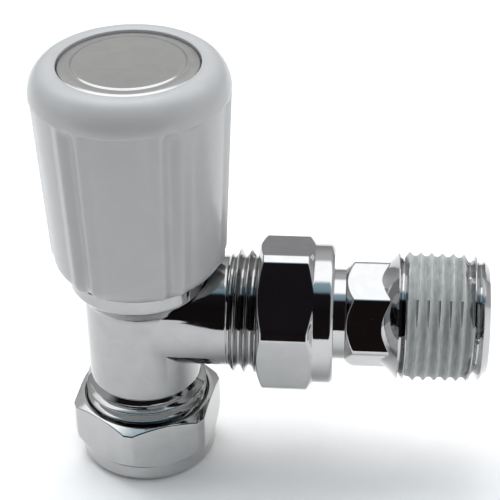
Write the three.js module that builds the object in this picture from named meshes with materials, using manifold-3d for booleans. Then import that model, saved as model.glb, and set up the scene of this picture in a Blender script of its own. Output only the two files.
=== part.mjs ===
// Angle lockshield radiator valve, 15 mm pipe by 1/2 inch tail, as an assembly of separate solids.
// Millimetres. Z = 0 is the pipe entry, +Z runs up the spindle, and the radiator tail runs out along +X.
import * as THREE from 'three';
import { mergeVertices } from 'three/addons/utils/BufferGeometryUtils.js';
import Module from 'manifold-3d';

const wasm = await Module();
wasm.setup();

// ---------------------------------------------------------------- driving dimensions
const ROUND = 24; // sides of a turned piece
const FINE_ROUND = 14; // sides of a small turned piece
const TOUCH = 0.15; // gap between pieces that rest on each other
const REST_GAP = 0.3; // gap between pieces that are cut to fit each other
const RUN_FIT = 0.2; // radial clearance of a piece that slides or turns in another
const SCREW_FIT = 0.3; // radial clearance between a male and a female thread
const FLANK_FIT = 0.2; // axial clearance on each flank of a thread
const EDGE = 0.5; // small turned chamfer
const OVERSHOOT = 1; // how far a cutter runs past the face it cuts
const SEAL_SIDES = 8; // sides of an O-ring's section
const FLARE_STEPS = 5;
const DOME_STEPS = 5;

// G 1/2 thread form, on the union end of the body
const UNION_THREAD = { crest: 10.478, depth: 1.162, pitch: 1.814, crestFlat: 0, rootFlat: 0.5, sides: 14 };
// The tail's taper thread into the radiator: the same form, a little larger at its start, and all in view
const TAIL_THREAD = { ...UNION_THREAD, crest: 10.68, sides: 18 };
// Left-hand thread that lifts the plug when the spindle turns anticlockwise
const LIFT_THREAD = { crest: 3.5, depth: 0.42, pitch: 1, crestFlat: 0, rootFlat: 0.5, sides: 10 };
// Fine thread that holds the bonnet in the body
const BONNET_THREAD = { crest: 8.2, depth: 0.8, pitch: 1.5, crestFlat: 0, rootFlat: 0.5, sides: 12 };

const BRANCH_HEIGHT = 29.2; // pipe entry up to the branch axis
const BRANCH_LENGTH = 27; // spindle axis out to the end of the union thread
const BODY_WALL = 1.95; // pipe socket out to the upright tube's surface
const COLLAR_STEP = 2.25; // upright tube out to the round collar under the cap
const COLLAR_DROP = 6.8; // branch axis up to the underside of the collar
const COLLAR_BLEND = 2.9; // cone that leads from the upright tube out to the collar
const COLLAR_LENGTH = 7;

const PIPE_DIAMETER = 15;
const PIPE_FIT = 0.15;
const PIPE_DEPTH = 16.5; // pipe entry up to the pipe stop
const SOCKET_WALL = 1.666; // pipe socket out to the root of the compression thread
const SOCKET_FOOT = 5.5; // pipe entry up to the body's lower face
const SOCKET_THREAD_TOP = 16.2; // top of the male compression thread, with its chamfer
const MOUTH_DEPTH = 2.7; // cone in the socket mouth that squeezes the olive
const MOUTH_FLARE = 1.35;
const OLIVE_WALL = 1.25;
const OLIVE_START = 2.2;
const OLIVE_LENGTH = 5.2;
const OLIVE_LIP = 0.3;
const OLIVE_CROWN = 1.5; // length of the olive's thick middle

const NUT_WALL = 1.25; // thread crest out to a hexagon flat, on both nuts
const CORNER_TRIM = 0.3; // the turned blank takes this much off the hexagon's corners
const CHAMFER_RISE = 0.6; // rise of a hexagon's end chamfer per millimetre from flat to corner
const COMPRESSION_HEX = 8.5; // hexagon part of the compression nut
const COMPRESSION_COLLAR = 3.5; // round part below it
const COMPRESSION_COLLAR_TRIM = 1.4; // corner radius down to the collar's radius
const COMPRESSION_NUT_TURN = 22; // one corner's angle from +X, degrees
const NUT_FLOOR = 1.6; // straight pipe hole at the nut's foot
const NUT_MOUTH_FLARE = 0.42; // opening chamfer outside the thread crest

const UNION_THREAD_LENGTH = 12.2;
const UNION_GRIP = 7; // how far the union nut covers the body thread
const UNION_HEX = 9.3;
const UNION_COLLAR = 3.3;
const UNION_COLLAR_RADIUS = 11.77;
const UNION_NUT_TURN = 77; // elevation of one corner, degrees from the front
const UNION_BACK_WALL = 2.2;

const SPIGOT_WALL = 1.45; // wall of the body socket around the tail spigot
const SPIGOT_DEPTH = 3.6;
const TAIL_NECK = 1.9; // bare neck between the union nut and the tail's hexagon
const TAIL_HEX = 7.3;
const TAIL_HEX_RISE = 0.35; // neck radius out to the tail's hexagon flats
const TAIL_HEX_TURN = 50;
const TAIL_FLARE = 2.8; // length of the flare into the tail thread
const TAIL_FLARE_CURVE = 0.4; // share of the flare's rise that comes late, which makes it concave
const TAIL_THREAD_LENGTH = 14.9;
const TAIL_TAPER = 1 / 64; // radius lost per millimetre along the tail thread
const TAIL_BORE = 6.2;
const TAIL_WALL = 2.15; // wall of the narrow spigot end of the tail
const SEAL_SECTION = 1.1; // O-ring section of the union
const RING_THICKNESS = 1.1; // split thrust ring that carries the union nut
const RING_OVERLAP = 1.5; // how far the thrust ring stands out of the tail
const RING_GAP_ANGLE = 36; // opening of a split ring, degrees

const WATERWAY = 6; // radius of the branch bore
const CHAMBER = 7.5; // radius of the chamber above the seat
const SEAT_DROP = 6.4; // branch axis down to the seat
const SEAT_BORE = 5;
const SEAT_LAND = 1.2;
const SEAT_LIP = 0.8;
const LIFT = 4; // travel of the plug
const WASHER_THICKNESS = 2.2;
const PLUG_FLANGE = 2;
const PLUG_CLEARANCE = 0.8; // chamber wall to the plug's flange
const PLUG_LENGTH = 13.5;
const PLUG_FLOOR = 5;
const PLUG_FLATS = 10.4;
const SCREW_SHANK = 1.5;
const SCREW_HOLE_END = 1; // solid metal left between the screw's hole and the lift thread
const SCREW_HEAD = 2.8;
const SCREW_HEAD_HEIGHT = 1.5;

const SPINDLE_RADIUS = 3;
const SPINDLE_FLANGE = 5;
const SPINDLE_FLANGE_THICKNESS = 1.6;
const SPINDLE_TOP = 22; // thrust face up to the spindle's end
const SPINDLE_SQUARE = 4.6;
const SQUARE_LENGTH = 5.5;
const SPINDLE_SLOT = 0.9; // width of the screwdriver slot in the spindle's end
const SCREW_SLOT = 0.7;
const SLOT_DEPTH = 1;
const THRUST_WASHER = 0.7;
const BONNET_FLANGE = 11.2;
const BONNET_FLANGE_THICKNESS = 1.2;
const BONNET_SEAL = 0.7;
const BONNET_HEX = 4.3;
const BONNET_HEX_FLATS = 19;
const TURRET_RADIUS = 7.5;
const TURRET_LENGTH = 6.5;
const BONNET_CLEARANCE = 1.5; // waterway's top up to the bonnet's lower end
const GLAND_ENGAGEMENT = 2; // least length of the gland nut inside the turret
const BONNET_WEB = 4.3; // solid web that the spindle passes through
const GLAND_WALL = 2.3;
const PACKING_LENGTH = 2.65;
const GLAND_HEAD = 3.7;
const GLAND_FLATS = 12.5;
const CIRCLIP = 0.8;
const CIRCLIP_RADIUS = 4.4;
const GROOVE_DEPTH = 0.7;
const SPINDLE_SEAL_SECTION = 0.9;
const GRIP_SECTION = 0.8;

const CAP_LIFT = 3.1; // underside of the collar up to the cap's foot
const CAP_HEADROOM = 4.7; // spindle's end up to the cap's roof
const CAP_GAP = 0.75; // collar out to the inside of the cap
const CAP_WALL = 1.9;
const CAP_FLARE = 1.5; // how much the cap widens from foot to shoulder
const CAP_LIP = 1; // flat lip round the disc
const CAP_DOME = 5.6; // height of the rounded shoulder
const CAP_ROOF = 2; // disc recess down to the inside
const CAP_RIM = 2.6; // rounding of the cap's foot
const CAP_FACETS = 6;
const CAP_TURN = -90; // angle of one facet's middle from +X, degrees
const FLUTE_RADIUS = 2.4;
const FLUTE_DEPTH = 0.8;
const FLUTE_SIDES = [3, 12]; // steps over a flute cutter's end, and round it
const DISC_RADIUS = 11.2;
const DISC_RECESS = 1.6;
const DISC_THICKNESS = 1.3;
const DISC_LIP = 0.9; // rolled edge of the disc
const DISC_PLATEAU = 8.85; // radius of the raised middle of the disc
const DISC_STEP = 0.2; // how far the disc's outer ring lies below its middle
const CAP_SLEEVE_WALL = 1.5;

// ---------------------------------------------------------------- derived stations
const threadRoot = (thread) => thread.crest - thread.depth;
const unionRoot = threadRoot(UNION_THREAD);
const tailRoot = threadRoot(TAIL_THREAD);
const pipeRadius = PIPE_DIAMETER / 2;
const socketRadius = pipeRadius + PIPE_FIT;
const COMPRESSION_THREAD = { ...UNION_THREAD, crest: socketRadius + SOCKET_WALL + UNION_THREAD.depth };
const bodyRadius = socketRadius + BODY_WALL;
const collarRadius = bodyRadius + COLLAR_STEP;
const nutFlats = (thread) => 2 * (thread.crest + NUT_WALL);
const nutCorner = (thread) => nutFlats(thread) / Math.sqrt(3) - CORNER_TRIM;

const collarBottom = BRANCH_HEIGHT + COLLAR_DROP;
const collarTop = collarBottom + COLLAR_LENGTH;
const compressionTop = COMPRESSION_COLLAR + COMPRESSION_HEX;

const seatTop = BRANCH_HEIGHT - SEAT_DROP;
const washerBottom = seatTop + REST_GAP;
const plugBottom = washerBottom + WASHER_THICKNESS + TOUCH;
const plugTop = plugBottom + PLUG_LENGTH;
const plugBoreBottom = plugBottom + PLUG_FLOOR;
const spindleEnd = plugBoreBottom + LIFT + REST_GAP;
const spindleFlangeBottom = plugTop + LIFT + 2 * REST_GAP;
const thrustFace = spindleFlangeBottom + SPINDLE_FLANGE_THICKNESS;
const thrustTop = thrustFace + TOUCH + THRUST_WASHER;
const webBottom = thrustTop + TOUCH;
const webTop = webBottom + BONNET_WEB;
const glandRadius = TURRET_RADIUS - GLAND_WALL;
const packingBottom = webTop + TOUCH;
const packingTop = packingBottom + PACKING_LENGTH;

const bonnetBottom = BRANCH_HEIGHT + WATERWAY + BONNET_CLEARANCE;
const bonnetSealBottom = collarTop + TOUCH;
const bonnetFlangeBottom = bonnetSealBottom + BONNET_SEAL + TOUCH;
const bonnetHexBottom = bonnetFlangeBottom + BONNET_FLANGE_THICKNESS;
const turretBottom = bonnetHexBottom + BONNET_HEX;
const bonnetTop = Math.max(turretBottom + TURRET_LENGTH, packingTop + GLAND_ENGAGEMENT);
const glandTop = bonnetTop + REST_GAP + GLAND_HEAD;
const circlipBottom = glandTop + REST_GAP;
const spindleTop = Math.max(thrustFace + SPINDLE_TOP, circlipBottom + CIRCLIP + SQUARE_LENGTH + 1);
const gripMiddle = (turretBottom + bonnetTop) / 2;

const unionNutFront = BRANCH_LENGTH - UNION_GRIP;
const unionHexBack = unionNutFront + UNION_HEX;
const unionNutBack = unionHexBack + UNION_COLLAR;
const unionShoulder = unionNutBack - UNION_BACK_WALL;
const unionThreadStart = BRANCH_LENGTH - UNION_THREAD_LENGTH;
const spigotSocket = unionRoot - SPIGOT_WALL;
const spigotRadius = spigotSocket - RUN_FIT;
const spigotEnd = BRANCH_LENGTH - SPIGOT_DEPTH + REST_GAP;
const tailFlats = 2 * (spigotRadius + TAIL_HEX_RISE);
const tailCorner = tailFlats / Math.sqrt(3);
const tailHexStart = unionNutBack + TAIL_NECK;
const tailFlareStart = tailHexStart + TAIL_HEX - TAIL_FLARE / 2;
const tailThreadStart = tailFlareStart + TAIL_FLARE;
const tailEnd = tailThreadStart + TAIL_THREAD_LENGTH;
const tailNarrowBore = spigotRadius - TAIL_WALL;

const capFoot = collarBottom + CAP_LIFT;
const capRoof = spindleTop + CAP_HEADROOM;
const capTop = capRoof + CAP_ROOF + DISC_RECESS;
const capFootInside = collarRadius + CAP_GAP;
const capFootRadius = capFootInside + CAP_WALL;
const capShoulderRadius = capFootRadius + CAP_FLARE;
const capShoulder = capTop - CAP_DOME;
const sleeveRadius = TURRET_RADIUS + RUN_FIT;

// ---------------------------------------------------------------- materials
const finish = (colour, roughness, metalness) =>
  new THREE.MeshStandardMaterial({ color: colour, roughness, metalness });
const chrome = () => finish(0xd6d8d8, 0.08, 1);
const brass = () => finish(0xc2a052, 0.3, 1);
const steel = () => finish(0xa9adb0, 0.35, 1);
const rubber = () => finish(0x1b1b1c, 0.7, 0);
const whitePlastic = () => finish(0xeceef0, 0.25, 0);
const paleSeal = () => finish(0xf2f0e8, 0.5, 0);

// ---------------------------------------------------------------- geometry helpers
const degrees = THREE.MathUtils.degToRad;

// Turned solid around Z from an outline of [radius, height] pairs that starts and ends on the axis.
function turned(outline, sides = ROUND) {
  const points = outline.map(([radius, height]) => new THREE.Vector2(radius, height));
  if (THREE.ShapeUtils.area(points) < 0) points.reverse();
  return new THREE.LatheGeometry(points, sides).rotateX(Math.PI / 2);
}

// Turned ring around Z from a closed outline that stays off the axis.
function ring(outline, sides = ROUND) {
  const counterClockwise = THREE.ShapeUtils.area(outline.map(([x, y]) => new THREE.Vector2(x, y))) > 0;
  const ordered = counterClockwise ? outline : [...outline].reverse();
  const points = [...ordered, ordered[0]].map(([radius, height]) => new THREE.Vector2(radius, height));
  return new THREE.LatheGeometry(points, sides).rotateX(Math.PI / 2);
}

const rod = (radius, from, to, sides = ROUND) =>
  turned([[0, from], [radius, from], [radius, to], [0, to]], sides);

const washer = (inner, outer, from, to, sides = ROUND) =>
  ring([[inner, from], [outer, from], [outer, to], [inner, to]], sides);

// O-ring of a round section between two radii, centred on a height.
function sealRing(inner, outer, middle, section, sides = FINE_ROUND) {
  const centre = (inner + outer) / 2;
  const half = (outer - inner) / 2;
  const outline = Array.from({ length: SEAL_SIDES }, (_, i) => {
    const angle = (i / SEAL_SIDES) * 2 * Math.PI;
    return [centre + half * Math.cos(angle), middle + (section / 2) * Math.sin(angle)];
  });
  return ring(outline, sides);
}

// Prism with flats around Z; one corner points along the given angle from +X.
function prism(count, acrossFlats, from, to, cornerAngle = 0) {
  const corner = acrossFlats / 2 / Math.cos(Math.PI / count);
  const bar = new THREE.CylinderGeometry(corner, corner, to - from, count);
  bar.rotateX(Math.PI / 2).rotateZ(Math.PI / 2 + degrees(cornerAngle));
  return bar.translate(0, 0, (from + to) / 2);
}

function toManifold(geometry) {
  const bare = geometry.clone();
  bare.deleteAttribute('normal');
  bare.deleteAttribute('uv');
  const merged = mergeVertices(bare, 1e-4);
  const triVerts = new Uint32Array(merged.index.array);
  const vertProperties = new Float32Array(merged.attributes.position.array);
  return new wasm.Manifold(new wasm.Mesh({ numProp: 3, vertProperties, triVerts }));
}

function toGeometry(manifold) {
  const mesh = manifold.getMesh();
  const geometry = new THREE.BufferGeometry();
  geometry.setAttribute('position', new THREE.BufferAttribute(new Float32Array(mesh.vertProperties), 3));
  geometry.setIndex(new THREE.BufferAttribute(new Uint32Array(mesh.triVerts), 1));
  return geometry;
}

const combine = (method) => (first, ...others) =>
  toGeometry(others.reduce((sum, other) => sum[method](toManifold(other)), toManifold(first)));
const join = combine('add');
const cut = combine('subtract');
const keepInside = combine('intersect');

// Lays a piece that was turned around Z onto the branch axis: its height becomes the distance along +X.
const alongBranch = (geometry) => geometry.rotateY(Math.PI / 2).translate(0, 0, BRANCH_HEIGHT);

// Elevation seen from the front becomes the angle that a piece on the branch axis is built with.
const branchAngle = (elevation) => 270 - elevation;

// Helical blank around Z: a LatheGeometry of the thread's outline, sheared by one pitch per turn and closed
// at both helical ends. It runs past both heights. A grown blank is the cutter for the matching
// female thread.
function screwBlank(thread, from, to, { grown = false, taper = 0, leftHand = false } = {}) {
  const fit = grown ? SCREW_FIT : 0;
  const flank = grown ? FLANK_FIT : 0;
  const { pitch, sides } = thread;
  const crest = thread.crest + fit;
  const root = threadRoot(thread) + fit;
  const crestHalf = thread.crestFlat / 2 + flank;
  const rootHalf = thread.rootFlat / 2 - flank;
  const firstTurn = Math.floor(from / pitch) - 1;
  const turns = Math.ceil(to / pitch) + 1 - firstTurn;
  const top = crestHalf > 0
    ? [[crest, pitch / 2 - crestHalf], [crest, pitch / 2 + crestHalf]]
    : [[crest, pitch / 2]];
  const steps = [[root, rootHalf], ...top, [root, pitch - rootHalf]];
  const flanks = Array.from({ length: turns }, (_, turn) =>
    steps.map(([radius, height]) => [radius, (firstTurn + turn) * pitch + height])).flat();
  const outline = [[0, flanks[0][1]], ...flanks, [0, flanks.at(-1)[1] + pitch]];
  const geometry = new THREE.LatheGeometry(outline.map((point) => new THREE.Vector2(...point)), sides);
  const position = geometry.attributes.position;
  const column = outline.length;
  for (let index = 0; index < position.count; index += 1) {
    const place = index % column;
    if (place === 0 || place === column - 1) continue;
    const turn = Math.floor(index / column) / sides;
    const onNextTurn = turn === 1 && place + steps.length < column - 1;
    const height = onNextTurn ? outline[place + steps.length][1] : outline[place][1] + pitch * turn;
    const slim = 1 - (taper * (height - from)) / outline[place][0];
    position.setXYZ(index, position.getX(index) * slim, height, position.getZ(index) * slim);
  }
  const faces = [...geometry.index.array];
  const lastColumn = sides * column;
  for (let step = 1; step <= steps.length; step += 1) {
    faces.push(0, step, step + 1);
    const upper = lastColumn + column - 2 - step;
    faces.push(lastColumn + column - 1, upper + 1, upper);
  }
  geometry.setIndex(faces);
  geometry.rotateX(Math.PI / 2);
  if (leftHand) {
    geometry.scale(-1, 1, 1);
    geometry.setIndex([...geometry.index.array].reverse());
  }
  return geometry;
}

// Threaded rod with a chamfered start and end.
function threadedRod(thread, from, to, options = {}) {
  const root = threadRoot(thread) - (options.taper ?? 0) * (to - from);
  const high = thread.crest + OVERSHOOT;
  const slope = high - root;
  const shell = [[0, from], [root, from], [high, from + slope], [high, to - slope], [root, to], [0, to]];
  return keepInside(screwBlank(thread, from, to, options), turned(shell, thread.sides));
}

// Cutter for a female thread between two heights.
const threadCutter = (thread, from, to, options = {}) =>
  keepInside(
    screwBlank(thread, from, to, { ...options, grown: true }),
    rod(thread.crest + OVERSHOOT, from, to, thread.sides),
  );

// Outline of a split ring's missing sector, from just inside to well outside the ring.
function splitGap(outer, from, to, facing) {
  const reach = outer + OVERSHOOT;
  const half = degrees(RING_GAP_ANGLE / 2);
  const sector = new THREE.Shape([
    new THREE.Vector2(0, 0),
    new THREE.Vector2(reach * Math.cos(half), -reach * Math.sin(half)),
    new THREE.Vector2(reach * Math.cos(half), reach * Math.sin(half)),
  ]);
  const block = new THREE.ExtrudeGeometry(sector, { depth: to - from + 2 * OVERSHOOT, bevelEnabled: false });
  return block.rotateZ(degrees(facing)).translate(0, 0, from - OVERSHOOT);
}

// Hexagon whose corners a turned blank trims and whose two ends are chamfered.
function turnedHexagon(acrossFlats, cornerRadius, from, to, cornerAngle) {
  const flat = acrossFlats / 2;
  const chamfer = (cornerRadius - flat) * CHAMFER_RISE;
  const blank = [
    [0, from], [flat - EDGE / 2, from], [cornerRadius, from + chamfer],
    [cornerRadius, to - chamfer], [flat - EDGE / 2, to], [0, to],
  ];
  return keepInside(prism(6, acrossFlats, from, to, cornerAngle), turned(blank, 1.5 * ROUND));
}

// ---------------------------------------------------------------- body
function valveBody() {
  const tubeFoot = SOCKET_THREAD_TOP - EDGE;
  const upright = turned([
    [0, tubeFoot], [bodyRadius, tubeFoot],
    [bodyRadius, collarBottom - COLLAR_BLEND], [collarRadius, collarBottom],
    [collarRadius, collarTop - EDGE], [collarRadius - EDGE, collarTop], [0, collarTop],
  ]);
  const socket = threadedRod(COMPRESSION_THREAD, SOCKET_FOOT, SOCKET_THREAD_TOP);
  const branch = alongBranch(rod(unionRoot, 0, unionThreadStart + EDGE));
  const unionScrew = alongBranch(threadedRod(UNION_THREAD, unionThreadStart, BRANCH_LENGTH));
  const throat = [
    [0, SOCKET_FOOT - OVERSHOOT], [socketRadius + MOUTH_FLARE, SOCKET_FOOT - OVERSHOOT],
    [socketRadius + MOUTH_FLARE, SOCKET_FOOT], [socketRadius, SOCKET_FOOT + MOUTH_DEPTH],
    [socketRadius, PIPE_DEPTH], [SEAT_BORE, PIPE_DEPTH], [SEAT_BORE, seatTop],
    [SEAT_BORE + SEAT_LAND, seatTop],
    [SEAT_BORE + SEAT_LAND, seatTop - SEAT_LIP], [CHAMBER, seatTop - SEAT_LIP],
    [CHAMBER, bonnetBottom + REST_GAP], [BONNET_THREAD.crest + RUN_FIT, bonnetBottom + REST_GAP],
    [BONNET_THREAD.crest + RUN_FIT, collarTop + OVERSHOOT], [0, collarTop + OVERSHOOT],
  ];
  const outlet = [
    [0, 0], [WATERWAY, 0], [WATERWAY, BRANCH_LENGTH - SPIGOT_DEPTH],
    [spigotSocket, BRANCH_LENGTH - SPIGOT_DEPTH],
    [spigotSocket, BRANCH_LENGTH - EDGE / 2], [spigotSocket + EDGE / 2, BRANCH_LENGTH],
    [spigotSocket + EDGE / 2, BRANCH_LENGTH + OVERSHOOT], [0, BRANCH_LENGTH + OVERSHOOT],
  ];
  return cut(join(upright, socket, branch, unionScrew), turned(throat), alongBranch(turned(outlet)));
}

// ---------------------------------------------------------------- pipe connection
function compressionNut() {
  const flats = nutFlats(COMPRESSION_THREAD);
  const corner = nutCorner(COMPRESSION_THREAD);
  const footRadius = corner - COMPRESSION_COLLAR_TRIM;
  const footTop = COMPRESSION_COLLAR + COMPRESSION_COLLAR_TRIM;
  const hexagon = turnedHexagon(flats, corner, COMPRESSION_COLLAR, compressionTop, COMPRESSION_NUT_TURN);
  const collar = turned([
    [0, 0], [footRadius - 2 * EDGE, 0], [footRadius - EDGE / 2, EDGE / 2], [footRadius, 2 * EDGE],
    [footRadius, footTop], [0, footTop],
  ]);
  const holeRadius = pipeRadius + RUN_FIT;
  const threadRadius = threadRoot(COMPRESSION_THREAD) + SCREW_FIT;
  const threadBottom = NUT_FLOOR + threadRadius - holeRadius;
  const mouth = COMPRESSION_THREAD.crest + NUT_MOUTH_FLARE;
  const bore = turned([
    [0, -OVERSHOOT], [holeRadius + OVERSHOOT, -OVERSHOOT], [holeRadius, EDGE / 2], [holeRadius, NUT_FLOOR],
    [threadRadius, threadBottom],
    [threadRadius, compressionTop - (mouth - threadRadius)], [mouth, compressionTop],
    [mouth, compressionTop + OVERSHOOT], [0, compressionTop + OVERSHOOT],
  ]);
  const thread = threadCutter(COMPRESSION_THREAD, threadBottom, compressionTop + OVERSHOOT);
  return cut(join(hexagon, collar), bore, thread);
}

function olive() {
  const inner = pipeRadius + PIPE_FIT / 2;
  const end = OLIVE_START + OLIVE_LENGTH;
  const crown = OLIVE_START + OLIVE_WALL;
  return ring([
    [inner, OLIVE_START], [inner + OLIVE_LIP, OLIVE_START], [inner + OLIVE_WALL, crown],
    [inner + OLIVE_WALL, crown + OLIVE_CROWN], [inner + OLIVE_LIP, end], [inner, end],
  ]);
}

// ---------------------------------------------------------------- union and tail, built along Z
function unionNut() {
  const flats = nutFlats(UNION_THREAD);
  const corner = nutCorner(UNION_THREAD);
  const hexagon = turnedHexagon(flats, corner, unionNutFront, unionHexBack, branchAngle(UNION_NUT_TURN));
  const collar = turned([
    [0, unionHexBack - EDGE], [UNION_COLLAR_RADIUS, unionHexBack - EDGE],
    [UNION_COLLAR_RADIUS, unionNutBack - EDGE], [UNION_COLLAR_RADIUS - EDGE, unionNutBack], [0, unionNutBack],
  ]);
  const threadRadius = unionRoot + SCREW_FIT;
  const mouth = UNION_THREAD.crest + NUT_MOUTH_FLARE;
  const bore = turned([
    [0, unionNutFront - OVERSHOOT], [mouth, unionNutFront - OVERSHOOT], [mouth, unionNutFront],
    [threadRadius, unionNutFront + mouth - threadRadius], [threadRadius, unionShoulder],
    [spigotRadius + RUN_FIT, unionShoulder], [spigotRadius + RUN_FIT, unionNutBack + OVERSHOOT],
    [0, unionNutBack + OVERSHOOT],
  ]);
  const thread = threadCutter(UNION_THREAD, unionNutFront - OVERSHOOT, unionShoulder - RING_THICKNESS);
  return alongBranch(cut(join(hexagon, collar), bore, thread));
}

const ringStart = unionShoulder - TOUCH - RING_THICKNESS;
const sealMiddle = (spigotEnd + BRANCH_LENGTH) / 2;

function tailpiece() {
  const grooveRadius = spigotRadius - GROOVE_DEPTH;
  const sealGroove = spigotRadius - SEAL_SECTION + TOUCH / 2;
  const sealHalf = SEAL_SECTION / 2 + TOUCH;
  const core = turned([
    [0, spigotEnd], [spigotRadius - EDGE, spigotEnd], [spigotRadius, spigotEnd + EDGE],
    [spigotRadius, sealMiddle - sealHalf], [sealGroove, sealMiddle - sealHalf],
    [sealGroove, sealMiddle + sealHalf], [spigotRadius, sealMiddle + sealHalf],
    [spigotRadius, ringStart - TOUCH], [grooveRadius, ringStart - TOUCH],
    [grooveRadius, ringStart + RING_THICKNESS + TOUCH], [spigotRadius, ringStart + RING_THICKNESS + TOUCH],
    [spigotRadius, tailThreadStart + OVERSHOOT], [0, tailThreadStart + OVERSHOOT],
  ]);
  const flats = tailFlats / 2;
  const hexEnd = tailThreadStart - EDGE;
  const hexagon = keepInside(
    prism(6, tailFlats, tailHexStart, hexEnd, branchAngle(TAIL_HEX_TURN)),
    turned([
      [0, tailHexStart], [flats - EDGE / 2, tailHexStart], [tailCorner, tailHexStart + tailCorner - flats],
      [tailCorner, hexEnd], [0, hexEnd],
    ]),
  );
  const flareTip = TAIL_THREAD.crest;
  const arc = Array.from({ length: FLARE_STEPS + 1 }, (_, i) => {
    const share = i / FLARE_STEPS;
    const rise = (1 - TAIL_FLARE_CURVE) * share + TAIL_FLARE_CURVE * share ** 2;
    return [flats + (flareTip - flats) * rise, tailFlareStart + TAIL_FLARE * share];
  });
  const flareBack = tailThreadStart + OVERSHOOT;
  const flare = turned([[0, tailFlareStart], ...arc, [tailRoot - EDGE, flareBack], [0, flareBack]]);
  const screw = keepInside(
    screwBlank(TAIL_THREAD, tailThreadStart, tailEnd, { taper: TAIL_TAPER }),
    turned([
      [0, tailThreadStart], [TAIL_THREAD.crest, tailThreadStart],
      [TAIL_THREAD.crest, tailEnd - TAIL_THREAD.depth],
      [tailRoot - EDGE, tailEnd], [0, tailEnd],
    ], TAIL_THREAD.sides),
  );
  const step = tailHexStart + TAIL_HEX / 2;
  const bore = turned([
    [0, spigotEnd - OVERSHOOT], [tailNarrowBore, spigotEnd - OVERSHOOT], [tailNarrowBore, step],
    [TAIL_BORE, step + TAIL_BORE - tailNarrowBore], [TAIL_BORE, tailEnd - EDGE], [TAIL_BORE + EDGE, tailEnd],
    [TAIL_BORE + EDGE, tailEnd + OVERSHOOT], [0, tailEnd + OVERSHOOT],
  ]);
  return alongBranch(cut(join(core, hexagon, flare, screw), bore));
}

function thrustRing() {
  const inner = spigotRadius - GROOVE_DEPTH + TOUCH;
  const outer = spigotRadius + RING_OVERLAP;
  const whole = washer(inner, outer, ringStart, ringStart + RING_THICKNESS);
  return alongBranch(cut(whole, splitGap(outer, ringStart, ringStart + RING_THICKNESS, branchAngle(-90))));
}

function unionSeal() {
  const inner = spigotRadius - SEAL_SECTION + 2 * TOUCH;
  const outer = spigotSocket - TOUCH / 2;
  return alongBranch(sealRing(inner, outer, sealMiddle, SEAL_SECTION));
}

// ---------------------------------------------------------------- headwork
function bonnet() {
  const pilot = threadRoot(BONNET_THREAD) - TOUCH;
  const threadStart = bonnetBottom + 2 * REST_GAP;
  const grip = TURRET_RADIUS - GRIP_SECTION + TOUCH / 2;
  const gripHalf = GRIP_SECTION / 2 + TOUCH;
  const outside = turned([
    [0, bonnetBottom], [pilot - EDGE, bonnetBottom], [pilot, bonnetBottom + EDGE], [pilot, collarTop - EDGE],
    [BONNET_THREAD.crest, collarTop], [BONNET_THREAD.crest, bonnetFlangeBottom],
    [BONNET_FLANGE - EDGE, bonnetFlangeBottom], [BONNET_FLANGE, bonnetFlangeBottom + EDGE],
    [BONNET_FLANGE, bonnetHexBottom], [TURRET_RADIUS, bonnetHexBottom],
    [TURRET_RADIUS, gripMiddle - gripHalf],
    [grip, gripMiddle - gripHalf], [grip, gripMiddle + gripHalf], [TURRET_RADIUS, gripMiddle + gripHalf],
    [TURRET_RADIUS, bonnetTop - EDGE], [TURRET_RADIUS - EDGE, bonnetTop], [0, bonnetTop],
  ]);
  const thread = threadedRod(BONNET_THREAD, threadStart, collarTop);
  const hexTop = bonnetHexBottom + BONNET_HEX;
  const hexCorner = BONNET_HEX_FLATS / Math.sqrt(3) - CORNER_TRIM;
  const hexagon = turnedHexagon(BONNET_HEX_FLATS, hexCorner, bonnetHexBottom - EDGE, hexTop, 0);
  const keyway = prism(6, PLUG_FLATS + 2 * RUN_FIT, bonnetBottom - OVERSHOOT, webBottom, 30);
  const passage = turned([
    [0, webBottom - OVERSHOOT], [SPINDLE_RADIUS + RUN_FIT, webBottom - OVERSHOOT],
    [SPINDLE_RADIUS + RUN_FIT, webTop],
    [glandRadius, webTop], [glandRadius, bonnetTop + OVERSHOOT], [0, bonnetTop + OVERSHOOT],
  ], FINE_ROUND);
  return cut(join(outside, thread, hexagon), keyway, passage);
}

const bonnetSeal = () =>
  washer(BONNET_THREAD.crest + RUN_FIT, BONNET_FLANGE - RUN_FIT,
    bonnetSealBottom, bonnetSealBottom + BONNET_SEAL);

const spindleSealMiddle = (webBottom + webTop) / 2;

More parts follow.
